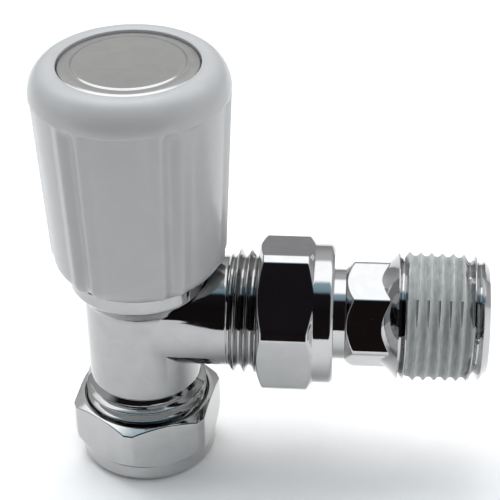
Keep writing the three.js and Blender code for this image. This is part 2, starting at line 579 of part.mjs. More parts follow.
function spindle() {
  const sealGroove = SPINDLE_RADIUS - SPINDLE_SEAL_SECTION + TOUCH / 2;
  const sealHalf = SPINDLE_SEAL_SECTION / 2 + TOUCH;
  const clipGroove = SPINDLE_RADIUS - GROOVE_DEPTH;
  const screwTop = spindleFlangeBottom - EDGE;
  const shank = turned([
    [0, screwTop - EDGE], [threadRoot(LIFT_THREAD), screwTop - EDGE],
    [threadRoot(LIFT_THREAD), spindleFlangeBottom],
    [SPINDLE_FLANGE, spindleFlangeBottom], [SPINDLE_FLANGE, thrustFace], [SPINDLE_RADIUS, thrustFace],
    [SPINDLE_RADIUS, spindleSealMiddle - sealHalf], [sealGroove, spindleSealMiddle - sealHalf],
    [sealGroove, spindleSealMiddle + sealHalf], [SPINDLE_RADIUS, spindleSealMiddle + sealHalf],
    [SPINDLE_RADIUS, circlipBottom - TOUCH], [clipGroove, circlipBottom - TOUCH],
    [clipGroove, circlipBottom + CIRCLIP + TOUCH], [SPINDLE_RADIUS, circlipBottom + CIRCLIP + TOUCH],
    [SPINDLE_RADIUS, spindleTop - EDGE], [SPINDLE_RADIUS - EDGE, spindleTop], [0, spindleTop],
  ], FINE_ROUND);
  const screw = threadedRod(LIFT_THREAD, spindleEnd, screwTop, { leftHand: true });
  const squareFoot = spindleTop - SQUARE_LENGTH;
  const squareCutter = cut(
    rod(SPINDLE_RADIUS + OVERSHOOT, squareFoot, spindleTop + OVERSHOOT, FINE_ROUND),
    prism(4, SPINDLE_SQUARE, squareFoot - OVERSHOOT, spindleTop + 2 * OVERSHOOT, 45),
  );
  const slot = new THREE.BoxGeometry(2 * SPINDLE_RADIUS + OVERSHOOT, SPINDLE_SLOT, 2 * SLOT_DEPTH);
  slot.translate(0, 0, spindleTop);
  return cut(join(shank, screw), squareCutter, slot);
}

function spindleSeal() {
  const inner = SPINDLE_RADIUS - SPINDLE_SEAL_SECTION + 2 * TOUCH;
  const outer = SPINDLE_RADIUS + RUN_FIT - TOUCH / 2;
  return sealRing(inner, outer, spindleSealMiddle, SPINDLE_SEAL_SECTION);
}

const thrustWasher = () =>
  washer(SPINDLE_RADIUS + TOUCH, SPINDLE_FLANGE, thrustFace + TOUCH, thrustTop, FINE_ROUND);

const glandPacking = () =>
  washer(SPINDLE_RADIUS + TOUCH, glandRadius - TOUCH, packingBottom, packingTop, FINE_ROUND);

function glandNut() {
  const body = rod(glandRadius - RUN_FIT, packingTop + TOUCH, bonnetTop + REST_GAP + EDGE, FINE_ROUND);
  const corner = GLAND_FLATS / Math.sqrt(3) - CORNER_TRIM;
  const head = turnedHexagon(GLAND_FLATS, corner, bonnetTop + REST_GAP, glandTop, 0);
  const hole = rod(SPINDLE_RADIUS + RUN_FIT, packingTop - OVERSHOOT, glandTop + OVERSHOOT, FINE_ROUND);
  return cut(join(body, head), hole);
}

function spindleCirclip() {
  const inner = SPINDLE_RADIUS - GROOVE_DEPTH + TOUCH;
  const whole = washer(inner, CIRCLIP_RADIUS, circlipBottom, circlipBottom + CIRCLIP, FINE_ROUND);
  return cut(whole, splitGap(CIRCLIP_RADIUS, circlipBottom, circlipBottom + CIRCLIP, 180));
}

function valvePlug() {
  const flangeRadius = CHAMBER - PLUG_CLEARANCE;
  const flange = rod(flangeRadius, plugBottom, plugBottom + PLUG_FLANGE);
  const stem = prism(6, PLUG_FLATS, plugBottom + PLUG_FLANGE - EDGE, plugTop, 30);
  const holeTop = plugBottom + PLUG_FLOOR - SCREW_HOLE_END;
  const screwHole = rod(SCREW_SHANK + TOUCH, plugBottom - OVERSHOOT, holeTop, FINE_ROUND);
  const relief = rod(LIFT_THREAD.crest + SCREW_FIT + TOUCH, plugBoreBottom, spindleEnd, FINE_ROUND);
  const thread = threadCutter(LIFT_THREAD, spindleEnd - EDGE, plugTop + OVERSHOOT, { leftHand: true });
  return cut(join(flange, stem), screwHole, relief, thread);
}

const seatWasher = () =>
  washer(SCREW_SHANK + RUN_FIT, SEAT_BORE + SEAT_LAND + REST_GAP,
    washerBottom, washerBottom + WASHER_THICKNESS);

function washerScrew() {
  const shankTop = plugBottom + PLUG_FLOOR - SCREW_HOLE_END - REST_GAP;
  const headTop = washerBottom - TOUCH;
  const headBottom = headTop - SCREW_HEAD_HEIGHT;
  const body = turned([
    [0, headBottom], [SCREW_HEAD - EDGE, headBottom], [SCREW_HEAD, headBottom + EDGE], [SCREW_HEAD, headTop],
    [SCREW_SHANK, headTop], [SCREW_SHANK, shankTop - EDGE], [SCREW_SHANK - EDGE, shankTop], [0, shankTop],
  ], FINE_ROUND);
  const slot = new THREE.BoxGeometry(2 * SCREW_HEAD + OVERSHOOT, SCREW_SLOT, SLOT_DEPTH);
  return cut(body, slot.translate(0, 0, headBottom));
}

// ---------------------------------------------------------------- cap
function lockshieldCap() {
  const lip = DISC_RADIUS + TOUCH + CAP_LIP;
  const dome = Array.from({ length: DOME_STEPS + 1 }, (_, i) => {
    const angle = (i / DOME_STEPS) * (Math.PI / 2);
    return [lip + (capShoulderRadius - lip) * Math.cos(angle), capShoulder + CAP_DOME * Math.sin(angle)];
  });
  const outside = turned([
    [0, capFoot], [capFootRadius - CAP_RIM / 2, capFoot],
    [capFootRadius - CAP_RIM / 6, capFoot + CAP_RIM / 3],
    [capFootRadius, capFoot + CAP_RIM], ...dome, [0, capTop],
  ], 1.5 * ROUND);
  const straight = capShoulder - capFoot;
  const lean = Math.atan2(CAP_FLARE, straight);
  const flutes = Array.from({ length: CAP_FACETS }, (_, i) => {
    const length = straight - FLUTE_RADIUS + 2 * OVERSHOOT;
    const flute = new THREE.CapsuleGeometry(FLUTE_RADIUS, length, ...FLUTE_SIDES);
    flute.rotateX(Math.PI / 2).translate(0, 0, capFoot + length / 2 - 2 * OVERSHOOT);
    const middle = capFootRadius + CAP_FLARE / 2 + FLUTE_RADIUS - FLUTE_DEPTH;
    const level = capFoot + straight / 2;
    flute.translate(0, 0, -level).rotateY(lean).translate(middle, 0, level);
    return flute.rotateZ(degrees(CAP_TURN + (i + 0.5) * (360 / CAP_FACETS)));
  });
  const sleeveFoot = turretBottom + TOUCH + OVERSHOOT;
  const sleeveOutside = sleeveRadius + CAP_SLEEVE_WALL;
  const hollow = turned([
    [0, capFoot - OVERSHOOT], [capFootInside, capFoot - OVERSHOOT], [capFootInside, capFoot],
    [capFootInside + CAP_FLARE, capShoulder - CAP_WALL], [capFootInside, capRoof], [sleeveOutside, capRoof],
    [sleeveOutside, sleeveFoot], [sleeveRadius, sleeveFoot], [sleeveRadius, capRoof], [0, capRoof],
  ]);
  const recess = rod(DISC_RADIUS + TOUCH, capTop - DISC_RECESS, capTop + OVERSHOOT, 1.5 * ROUND);
  return cut(outside, hollow, recess, ...flutes);
}

function capDisc() {
  const bottom = capTop - DISC_RECESS + TOUCH;
  const top = bottom + DISC_THICKNESS;
  const roll = DISC_LIP / 3;
  return turned([
    [0, bottom], [DISC_RADIUS - roll, bottom], [DISC_RADIUS, bottom + roll], [DISC_RADIUS, top - 2 * roll],
    [DISC_RADIUS - DISC_LIP, top - DISC_STEP],
    [DISC_PLATEAU + DISC_STEP, top - DISC_STEP], [DISC_PLATEAU, top],
    [0, top],
  ]);
}

const capGripRing = () =>
  sealRing(TURRET_RADIUS - GRIP_SECTION + 2 * TOUCH, sleeveRadius - TOUCH / 2, gripMiddle, GRIP_SECTION);

// ---------------------------------------------------------------- assembly
const pieces = [
  ['valve_body', valveBody(), chrome()],
  ['compression_nut', compressionNut(), chrome()],
  ['olive', olive(), brass()],
  ['union_nut', unionNut(), chrome()],
  ['tailpiece', tailpiece(), chrome()],
  ['union_thrust_ring', thrustRing(), steel()],
  ['union_seal', unionSeal(), rubber()],
  ['bonnet', bonnet(), brass()],
  ['bonnet_seal', bonnetSeal(), paleSeal()],
  ['spindle', spindle(), brass()],
  ['spindle_seal', spindleSeal(), rubber()],
  ['thrust_washer', thrustWasher(), paleSeal()],
  ['gland_packing', glandPacking(), paleSeal()],
  ['gland_nut', glandNut(), brass()],
  ['spindle_circlip', spindleCirclip(), steel()],
  ['valve_plug', valvePlug(), brass()],
  ['seat_washer', seatWasher(), rubber()],
  ['washer_screw', washerScrew(), brass()],
  ['lockshield_cap', lockshieldCap(), whitePlastic()],
  ['cap_disc', capDisc(), chrome()],
  ['cap_grip_ring', capGripRing(), rubber()],
];

const lockshieldValve = new THREE.Group();
for (const [name, geometry, material] of pieces) {
  const mesh = new THREE.Mesh(geometry, material);
  mesh.name = name;
  lockshieldValve.add(mesh);
}

export default lockshieldValve;
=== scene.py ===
import math

import bmesh
import bpy
import numpy as np
from mathutils import Matrix, Vector, noise


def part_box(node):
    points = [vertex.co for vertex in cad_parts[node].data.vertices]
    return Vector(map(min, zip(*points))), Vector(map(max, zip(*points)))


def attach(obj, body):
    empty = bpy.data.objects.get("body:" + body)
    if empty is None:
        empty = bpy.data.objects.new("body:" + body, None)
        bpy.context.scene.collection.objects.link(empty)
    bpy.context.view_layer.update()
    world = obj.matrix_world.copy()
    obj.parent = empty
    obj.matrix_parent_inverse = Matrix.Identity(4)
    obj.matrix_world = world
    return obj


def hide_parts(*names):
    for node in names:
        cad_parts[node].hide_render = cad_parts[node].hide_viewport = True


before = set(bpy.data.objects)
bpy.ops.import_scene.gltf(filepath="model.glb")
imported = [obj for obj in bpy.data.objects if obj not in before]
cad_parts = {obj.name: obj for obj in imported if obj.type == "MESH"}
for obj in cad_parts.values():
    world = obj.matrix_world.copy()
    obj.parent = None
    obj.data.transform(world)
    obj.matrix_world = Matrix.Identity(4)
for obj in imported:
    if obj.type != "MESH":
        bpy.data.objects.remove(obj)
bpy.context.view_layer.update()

# All shapes below are worked out in millimetres and become metres when a mesh is made.
MM = 0.001
WELD = 2e-6
SHARP_ANGLE = math.radians(38)
FULL_TURN = 2 * math.pi
BODY_SIDES = 160
BORE_SIDES = 96
RING_SIDES = 120
CAP_SIDES = 540

# ---------- sizes, read from the frame where they can be


def box_mm(node):
    """Lowest and highest corner of a CAD node, in millimetres."""
    low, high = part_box(node)
    return Vector(low) / MM, Vector(high) / MM


body_low, body_high = box_mm("valve_body")
cap_low, cap_high = box_mm("lockshield_cap")
disc_low, disc_high = box_mm("cap_disc")
nut_low, nut_high = box_mm("compression_nut")
union_low, union_high = box_mm("union_nut")
tail_low, tail_high = box_mm("tailpiece")
bonnet_low, bonnet_high = box_mm("bonnet")
gland_low, gland_high = box_mm("gland_nut")
spindle_low, spindle_high = box_mm("spindle")

BRANCH_HEIGHT = (union_low.z + union_high.z) / 2
PIPE_RADIUS = 7.5
CREST = 10.478  # half-inch pipe thread
THREAD_DEPTH = 1.162
TAIL_CREST = tail_high.y  # the tail thread starts a little fatter
PITCH = 1.814
ROOT = CREST - THREAD_DEPTH
SCREW_FIT = 0.3
FEMALE_CREST = ROOT + SCREW_FIT
NUT_FLATS = 2 * (CREST + 1.25)
COMPRESSION_ROUND = 2.0  # radius that polishing leaves on a nut's long edges
UNION_ROUND = 1.6
CORNER_WEAR = 0.45  # what polishing has taken off a nut's corners, which leaves them flat

# One turn of the thread form: position along the pitch, and height of the flank there
THREAD_PHASES = np.array(
    [0.0, 0.07, 0.12, 0.17, 0.24, 0.32, 0.40, 0.44, 0.47, 0.5, 0.53, 0.56, 0.6, 0.68, 0.76, 0.83, 0.88, 0.93]
)


def thread_shape(phase):
    """Height of the thread's flank, 0 at the root and 1 at the crest, with both ends rounded."""
    ramp = 1 - np.abs(2 * (phase % 1) - 1)
    clipped = np.clip((ramp - 0.16) / 0.76, 0, 1)
    return 0.7 * clipped + 0.3 * clipped * clipped * (3 - 2 * clipped)


# ---------- outlines and turned meshes


def upright(radius, angle, height):
    """A point of a piece that is turned round the spindle."""
    return radius * math.cos(angle), radius * math.sin(angle), height


def on_branch(radius, angle, height):
    """A point of a piece that is turned round the branch. Its angle is the elevation seen from the front."""
    return height, -radius * math.cos(angle), radius * math.sin(angle) + BRANCH_HEIGHT


def corner_points(before, corner, after, reach, steps=4):
    """The curve that rounds one corner, with a support point on each side so that the flats stay flat."""
    corner, before, after = Vector(corner), Vector(before), Vector(after)
    to_before, to_after = before - corner, after - corner
    room = 0.44 * min(to_before.length, to_after.length)
    reach = min(reach, room)
    start = corner + to_before.normalized() * reach
    end = corner + to_after.normalized() * reach
    curve = []
    for step in range(steps + 1):
        t = step / steps
        curve.append(start * (1 - t) ** 2 + corner * (2 * t * (1 - t)) + end * t**2)
    support = 0.35 * reach
    first = start + to_before.normalized() * support
    last = end + to_after.normalized() * support
    return [tuple(p) for p in (first, *curve, last)]


def rounded(knots, closed=True):
    """Outline of (radius, height) points from knots, each with an optional third number, its rounding."""
    points = []
    count = len(knots)
    for index, knot in enumerate(knots):
        inner = closed or 0 < index < count - 1
        if len(knot) == 3 and knot[2] > 0 and inner:
            before = knots[index - 1][:2]
            after = knots[(index + 1) % count][:2]
            points += corner_points(before, knot[:2], after, knot[2])
        else:
            points.append(tuple(knot[:2]))
    return points


def groove(radius, depth, low, high, lip=0.05):
    """Knots of a square groove cut into a turned face, between two heights."""
    floor = radius - depth
    return [(radius, low, lip), (floor, low, 0.1), (floor, high, 0.1), (radius, high, lip)]


def even_angles(count):
    return [FULL_TURN * i / count for i in range(count + 1)]


def hexagon_angles(corner, fine=(0, 0.5, 1, 1.5, 2, 2.6, 3.3, 4.2, 5.5, 8, 12, 17, 23, 30)):
    """Angles round a full turn, closer together near a hexagon's corners. It starts and ends on a corner."""
    offsets = sorted({-f for f in fine if f < 30} | set(fine))
    angles = []
    for side in range(6):
        angles += [math.radians(corner + 60 * side + offset) for offset in offsets if offset >= 0 or side > 0]
    angles += [math.radians(corner + 360 + offset) for offset in offsets if offset <= 0]
    return sorted(set(angles))


def hexagon_radius(angle, flats, corner, rounding, wear=0.0):
    """Distance from the axis to a hexagon with rounded corners that are worn flat, at one angle."""
    apothem = flats / 2
    sixth = math.radians(60)
    from_corner = (angle - math.radians(corner) + sixth / 2) % sixth - sixth / 2
    from_corner = abs(from_corner)
    reach = rounding * math.tan(sixth / 2)
    edge_angle = sixth / 2 - math.atan((apothem * math.tan(sixth / 2) - reach) / apothem)
    if from_corner >= edge_angle:
        return apothem / math.cos(sixth / 2 - from_corner)
    centre = (apothem - rounding) / math.cos(sixth / 2)
    offset = centre * math.sin(from_corner)
    round_corner = centre * math.cos(from_corner) + math.sqrt(rounding**2 - offset**2)
    return min(round_corner, (flats / math.sqrt(3) - wear) / math.cos(from_corner))


def screw_rows(
    angle, low, high, ends, taper=0.0, phase=0.0, shape=thread_shape, inside=0.0, envelope=None, crest=CREST
):
    """Points of a screw's flanks at one angle, between two heights. Each row climbs one pitch in a full turn,
    as the helix does, and rows beyond an end meet at that end's radius. The envelope limits them."""
    turn = (angle % FULL_TURN) / FULL_TURN if angle < FULL_TURN - 1e-9 else 1.0
    first = math.floor(low / PITCH) - 2
    last = math.ceil(high / PITCH) + 1
    rows = []
    for lap in range(first, last + 1):
        for step in THREAD_PHASES:
            height = (lap + step + turn + phase) * PITCH
            if height <= low:
                rows.append((ends[0], low))
            elif height >= high:
                rows.append((ends[1], high))
            else:
                radius = crest - THREAD_DEPTH * (1 - shape(step)) + inside - taper * (height - low)
                if envelope:
                    radius = envelope(radius, height)
                rows.append((radius, height))
    return rows


def turned_mesh(name, angles, outline_at, place=upright, closed=True, capped=False):
    """Mesh of one closed surface, from an outline at each angle. Caps close a turn that is not full."""
    columns = [outline_at(angle) for angle in angles]
    rows = len(columns[0])
    points = []
    for angle, column in zip(angles, columns):
        points += [[c * MM for c in place(radius, angle, height)] for radius, height in column]
    faces = []
    for i in range(len(columns) - 1):
        here, there = i * rows, (i + 1) * rows
        for j in range(rows if closed else rows - 1):
            k = (j + 1) % rows
            faces.append((here + j, there + j, there + k, here + k))
    if capped:
        faces += [tuple(range(rows)), tuple(range(len(points) - rows, len(points)))]
    mesh = bpy.data.meshes.new(name)
    mesh.from_pydata(points, [], faces)
    tidy(mesh)
    return mesh


def tidy(mesh):
    """Welds, closes and orients a mesh, and shades it smooth but for its sharp edges."""
    work = bmesh.new()
    work.from_mesh(mesh)
    bmesh.ops.remove_doubles(work, verts=work.verts, dist=WELD)
    loose = [v for v in work.verts if not v.link_faces]
    bmesh.ops.delete(work, geom=loose, context="VERTS")
    bmesh.ops.recalc_face_normals(work, faces=work.faces)
    work.to_mesh(mesh)
    work.free()
    mesh.shade_smooth()
    mesh.set_sharp_from_angle(angle=SHARP_ANGLE)
    mesh.update()


def combined(name, base, *steps):
    """Mesh left after joining or cutting other meshes: each step is an operation and a mesh."""
    result = bpy.data.objects.new(name, base)
    bpy.context.collection.objects.link(result)
    for operation, mesh in steps:
        tool = bpy.data.objects.new(name + "_tool", mesh)
        bpy.context.collection.objects.link(tool)
        boolean = result.modifiers.new("boolean", "BOOLEAN")
        boolean.operation = operation
        boolean.solver = "MANIFOLD"
        boolean.object = tool
        bpy.context.view_layer.update()
        made = bpy.data.meshes.new_from_object(result.evaluated_get(bpy.context.evaluated_depsgraph_get()))
        result.modifiers.clear()
        result.data = made
        bpy.data.objects.remove(tool)
    mesh = result.data
    bpy.data.objects.remove(result)
    mesh.name = name
    tidy(mesh)
    return mesh


def add_piece(name, mesh, material, body, slot, *nodes):
    """Puts a mesh in the scene as a piece that rides on a body and stands for these CAD nodes."""
    mesh.materials.clear()
    mesh.materials.append(material)
    piece = bpy.data.objects.new(name, mesh)
    bpy.context.collection.objects.link(piece)
    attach(piece, body)
    if nodes:
        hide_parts(*nodes)
    return piece


# ---------- materials


class Shader:
    """A material's node tree, with a short way to add and join nodes."""

    def __init__(self, name):
        self.material = bpy.data.materials.new(name)
        self.material.use_nodes = True
        self.tree = self.material.node_tree
        self.surface = self.tree.nodes["Principled BSDF"]
        self.place = self.add("ShaderNodeTexCoord").outputs["Object"]

    def add(self, kind, **settings):
        node = self.tree.nodes.new(kind)
        for key, value in settings.items():
            setattr(node, key, value)
        return node

    def join(self, source, target):
        self.tree.links.new(source, target)

    def set(self, node=None, **values):
        """Sets inputs of a node, or of the surface, with underscores for the spaces in their names."""
        inputs = (self.surface if node is None else node).inputs
        for key, value in values.items():
            inputs[key.replace("_", " ")].default_value = value

    def noise(self, per_mm, detail=3.0, stretch=(1, 1, 1), distortion=0.0):
        """Noise whose features are about 1 / per_mm millimetres across."""
        node = self.add("ShaderNodeTexNoise")
        self.set(node, Scale=per_mm / MM, Detail=detail, Distortion=distortion)
        mapping = self.add("ShaderNodeMapping")
        self.set(mapping, Scale=stretch)
        self.join(self.place, mapping.inputs["Vector"])
        self.join(mapping.outputs["Vector"], node.inputs["Vector"])
        return node.outputs["Fac"]

    def rings(self, axis, per_mm, distortion=1.5):
        """Fine lines round an axis, as turning leaves."""
        node = self.add("ShaderNodeTexWave", wave_type="BANDS", bands_direction=axis)
        self.set(node, Scale=per_mm / MM, Distortion=distortion, Detail=2, Detail_Scale=1.5)
        self.join(self.place, node.inputs["Vector"])
        return node.outputs["Fac"]

    def spread(self, source, low, high, start=0.3, end=0.7):
        """Turns a 0 to 1 pattern into a range of numbers."""
        node = self.add("ShaderNodeMapRange")
        self.set(node, From_Min=start, From_Max=end, To_Min=low, To_Max=high)
        self.join(source, node.inputs["Value"])
        return node.outputs["Result"]

    def blend(self, source, dark, light, start=0.3, end=0.7):
        """Turns a 0 to 1 pattern into a colour between two."""
        node = self.add("ShaderNodeValToRGB")
        node.color_ramp.elements[0].position = start
        node.color_ramp.elements[1].position = end
        node.color_ramp.elements[0].color = (*dark, 1)
        node.color_ramp.elements[1].color = (*light, 1)
        self.join(source, node.inputs["Fac"])
        return node.outputs["Color"]

    def bump(self, *layers):
        """Adds bump layers, each a pattern, a depth in millimetres and a strength."""
        last = None
        for pattern, depth, strength in layers:
            node = self.add("ShaderNodeBump")
            self.set(node, Distance=depth * MM, Strength=strength)
            self.join(pattern, node.inputs["Height"])
            if last:
                self.join(last, node.inputs["Normal"])
            last = node.outputs["Normal"]
        self.join(last, self.surface.inputs["Normal"])

    def paint(self, pattern, dark, light, smooth, rough):
        """Lets one pattern set both the colour and the roughness."""
        self.drive("Base Color", self.blend(pattern, dark, light))
        self.drive("Roughness", self.spread(pattern, smooth, rough))

    def from_branch(self):
        """Distance from the branch's axis, in millimetres."""
        shift = self.add("ShaderNodeVectorMath", operation="SUBTRACT")
        shift.inputs[1].default_value = (0, 0, BRANCH_HEIGHT * MM)
        self.join(self.place, shift.inputs[0])
        across = self.add("ShaderNodeVectorMath", operation="MULTIPLY")
        across.inputs[1].default_value = (0, 1 / MM, 1 / MM)
        self.join(shift.outputs["Vector"], across.inputs[0])
        length = self.add("ShaderNodeVectorMath", operation="LENGTH")
        self.join(across.outputs["Vector"], length.inputs[0])
        return length.outputs["Value"]

    def mixed(self, share, first, second):
        """Mixes two colours by a 0 to 1 share."""
        node = self.add("ShaderNodeMix", data_type="RGBA")
        self.join(share, node.inputs["Factor"])
        self.join(first, node.inputs[6])
        self.join(second, node.inputs[7])
        return node.outputs[2]

    def drive(self, socket, source):
        self.join(source, self.surface.inputs[socket])


def chrome(name, tone, wave, peel, grime=0.0):
    """Chromium plate: tone is how much it reflects, wave the metal's unevenness, peel the fine texture."""
    shade = Shader(name)
    shade.set(Metallic=1.0)
    broad = shade.noise(0.16, 2.0)
    fine = shade.noise(1.6, 4.0)
    smudge = shade.noise(0.35, 5.0, distortion=0.6)
    shade.paint(smudge, (tone - 0.018,) * 3, (tone + 0.018,) * 3, 0.035, 0.085 + grime)
    shade.bump((broad, wave, 0.5), (fine, peel, 0.5))
    return shade.material


def white_plastic():
    shade = Shader("white_cap_plastic")
    shade.set(Coat_Weight=0.35, Coat_Roughness=0.12, Specular_IOR_Level=0.5)
    mould = shade.noise(0.05, 2.0)
    grain = shade.noise(5.0, 3.0)
    handling = shade.noise(0.2, 6.0, distortion=0.8)
    shade.paint(handling, (0.385, 0.388, 0.392), (0.405, 0.408, 0.412), 0.30, 0.37)
    shade.bump((mould, 0.12, 0.4), (grain, 0.012, 0.35))
    return shade.material


def brass():
    shade = Shader("turned_brass")
    shade.set(Metallic=1.0)
    tarnish = shade.noise(0.4, 6.0, distortion=0.5)
    lines = shade.rings("Z", 1.6)
    shade.paint(tarnish, (0.55, 0.36, 0.13), (0.80, 0.60, 0.28), 0.22, 0.42)
    shade.bump((lines, 0.02, 0.4), (shade.noise(3.0, 4.0), 0.02, 0.3))
    return shade.material


def spring_steel():
    shade = Shader("spring_steel")
    shade.set(Metallic=1.0)
    scale_marks = shade.noise(0.9, 6.0)
    shade.paint(scale_marks, (0.24, 0.25, 0.27), (0.46, 0.47, 0.49), 0.25, 0.5)
    shade.bump((shade.noise(4.0, 4.0), 0.015, 0.4))
    return shade.material


def rubber():
    shade = Shader("black_rubber")
    dust = shade.noise(0.8, 6.0)
    shade.paint(dust, (0.012, 0.012, 0.013), (0.035, 0.035, 0.037), 0.5, 0.75)
    shade.bump((shade.noise(6.0, 3.0), 0.02, 0.5))
    return shade.material


def pale_seal():
    shade = Shader("pale_seal_fibre")
    cloud = shade.noise(0.7, 5.0)
    shade.paint(cloud, (0.70, 0.68, 0.62), (0.86, 0.85, 0.80), 0.42, 0.6)
    shade.bump((shade.noise(4.0, 5.0), 0.03, 0.5))
    return shade.material


def sealant():
    """Dried thread sealant: chalky grey with brush streaks, painted darker down in the thread's valleys as
    painted shade and lighter on the crests.
    """
    shade = Shader("dried_thread_sealant")
    streak = shade.noise(0.8, 6.0, stretch=(3.0, 0.6, 0.6), distortion=0.4)
    shade.set(Coat_Weight=0.15, Coat_Roughness=0.3)
    raised = shade.spread(shade.from_branch(), 0, 1, TAIL_CREST - 0.62, TAIL_CREST - 0.30)
    # The colour in the thread's valleys is darker than on the crests: painted shade in the grooves
    painted_valley_shade = shade.blend(streak, (0.14, 0.15, 0.145), (0.24, 0.25, 0.245))
    crest = shade.blend(streak, (0.30, 0.315, 0.31), (0.44, 0.455, 0.45))
    shade.drive("Base Color", shade.mixed(raised, painted_valley_shade, crest))
    shade.drive("Roughness", shade.spread(streak, 0.38, 0.6))
    shade.bump((streak, 0.08, 0.5), (shade.noise(4.0, 4.0), 0.02, 0.4))
    return shade.material


BODY_CHROME = chrome("chrome_ground_casting", 0.38, wave=0.10, peel=0.010, grime=0.03)
NUT_CHROME = chrome("chrome_turned_bar", 0.47, wave=0.05, peel=0.007)
DISC_CHROME = chrome("chrome_pressed_disc", 0.49, wave=0.03, peel=0.006, grime=0.02)
WHITE_PLASTIC = white_plastic()
BRASS = brass()
STEEL = spring_steel()
RUBBER = rubber()
PALE_SEAL = pale_seal()
SEALANT = sealant()

# ---------- body

TUBE_RADIUS = 9.6
COLLAR_RADIUS = 11.85
COLLAR_DROP = 6.8
COLLAR_BLEND = 2.9  # height of the cone from the tube out to the collar
SOCKET_RADIUS = 7.65
SOCKET_TOP = 16.2
PIPE_STOP = 16.5
SEAT_BORE = 5.0
SEAT_TOP = BRANCH_HEIGHT - 6.4
CHAMBER_RADIUS = 7.5
BONNET_HOLE = 8.4
BONNET_CREST = 8.2
BONNET_BOTTOM = bonnet_low.z
UNION_THREAD_LENGTH = 12.2
WATERWAY = 6.0
SPIGOT_SOCKET = ROOT - 1.45
SPIGOT_DEPTH = 3.6
UNION_PHASE = 0.38
SOCKET_PHASE = 0.52  # puts one whole crest of the socket thread above the nut at the front


def chamfered(low, high, foot, slope=1.0):
    """Limit on a male thread's radius near its two chamfered ends."""

    def limit(radius, height):
        return min(radius, foot + (height - low) * slope, foot + (high - height) * slope)

    return limit


def build_body():
    foot, top = body_low.z, body_high.z
    collar_foot = BRANCH_HEIGHT + COLLAR_DROP
    root = ROOT - 0.05

    def outside(angle):
        limit = chamfered(foot, SOCKET_TOP, root)
        screw = screw_rows(angle, foot, SOCKET_TOP, (root, root), phase=SOCKET_PHASE, envelope=limit)
        rest = rounded(
            [
                (root, SOCKET_TOP),
                (root, SOCKET_TOP + 0.05),
                (TUBE_RADIUS - 0.05, SOCKET_TOP + 0.35, 0.1),
                (TUBE_RADIUS, SOCKET_TOP + 1.5, 0.3),
                (TUBE_RADIUS, collar_foot - COLLAR_BLEND, 0.6),
                (COLLAR_RADIUS, collar_foot, 0.35),
                (COLLAR_RADIUS, top, 0.45),
                (0, top),
            ],
            closed=False,
        )
        return [(0, foot)] + screw + rest[1:]

    def branch(angle):
        start, end = BRANCH_LENGTH - UNION_THREAD_LENGTH, BRANCH_LENGTH
        limit = chamfered(start, end, root)
        screw = screw_rows(angle, start, end, (root, root), phase=UNION_PHASE, envelope=limit)
        plain = [(0, 0), (ROOT - 0.3, 0), (ROOT, 1.0), (ROOT, start - 0.4), (ROOT, start - 0.1)]
        return plain + screw + [(0, end)]

    def throat(_):
        return rounded(
            [
                (0, foot - 2),
                (SOCKET_RADIUS + 2.1, foot - 2),
                (SOCKET_RADIUS + 1.35, foot, 0.2),
                (SOCKET_RADIUS, foot + 2.7, 0.3),
                (SOCKET_RADIUS, PIPE_STOP, 0.15),
                (SEAT_BORE, PIPE_STOP, 0.2),
                (SEAT_BORE, SEAT_TOP, 0.15),
                (SEAT_BORE + 1.2, SEAT_TOP, 0.15),
                (SEAT_BORE + 1.2, SEAT_TOP - 0.8, 0.1),
                (CHAMBER_RADIUS, SEAT_TOP - 0.8, 0.2),
                (CHAMBER_RADIUS, BONNET_BOTTOM + 0.3, 0.1),
                (BONNET_HOLE, BONNET_BOTTOM + 0.3, 0.1),
                (BONNET_HOLE, top - 0.5, 0.1),
                (BONNET_HOLE + 1.0, top + 0.5),
                (0, top + 2),
            ],
            closed=False,
        )

    def outlet(_):
        end = BRANCH_LENGTH
        return rounded(
            [
                (0, 0),
                (WATERWAY, 0),
                (WATERWAY, end - SPIGOT_DEPTH, 0.2),
                (SPIGOT_SOCKET, end - SPIGOT_DEPTH, 0.1),
                (SPIGOT_SOCKET, end - 0.3, 0.1),
                (SPIGOT_SOCKET + 1.0, end + 0.7),
                (0, end + 2),
            ],
            closed=False,
        )

    around = even_angles(BODY_SIDES)
    mesh = combined(
        "body_casting",
        turned_mesh("body_upright", around, outside, closed=False),
        ("UNION", turned_mesh("body_branch", around, branch, on_branch, closed=False)),
        ("DIFFERENCE", turned_mesh("body_throat", even_angles(BORE_SIDES), throat, closed=False)),
        ("DIFFERENCE", turned_mesh("body_outlet", even_angles(BORE_SIDES), outlet, on_branch, closed=False)),
    )
    return add_piece("body_casting", mesh, BODY_CHROME, "valve", "chrome", "valve_body")


# ---------- nuts and olive

BRANCH_LENGTH = body_high.x
COMPRESSION_TURN = 22.0
UNION_TURN = 77.0
NUT_CHAMFER_SLOPE = 0.52  # rise of the turned chamfer for each millimetre outward
END_FACE_INSET = 0.25  # how far the turned end face stays inside the flats
MOUTH_FLARE = 0.42  # thread crest out to the rim of a nut's mouth
COLLAR_TOP = 3.5  # height of the compression nut's round lower end
COLLAR_TRIM = 1.7  # hexagon corner in to that round end
NUT_FLOOR = 1.6
UNION_HEX = 9.3
UNION_COLLAR_RADIUS = 11.77
UNION_BACK_WALL = 2.2


def hexagon_knots(flat, radius, end, inward, slope=NUT_CHAMFER_SLOPE):
    """The end face's rim and the chamfer's outer end on a hexagon, at one distance from its axis."""
    rim = flat / 2 - END_FACE_INSET
    return (rim, end, 0.12), (radius, end + inward * (radius - rim) * slope, 0.22)


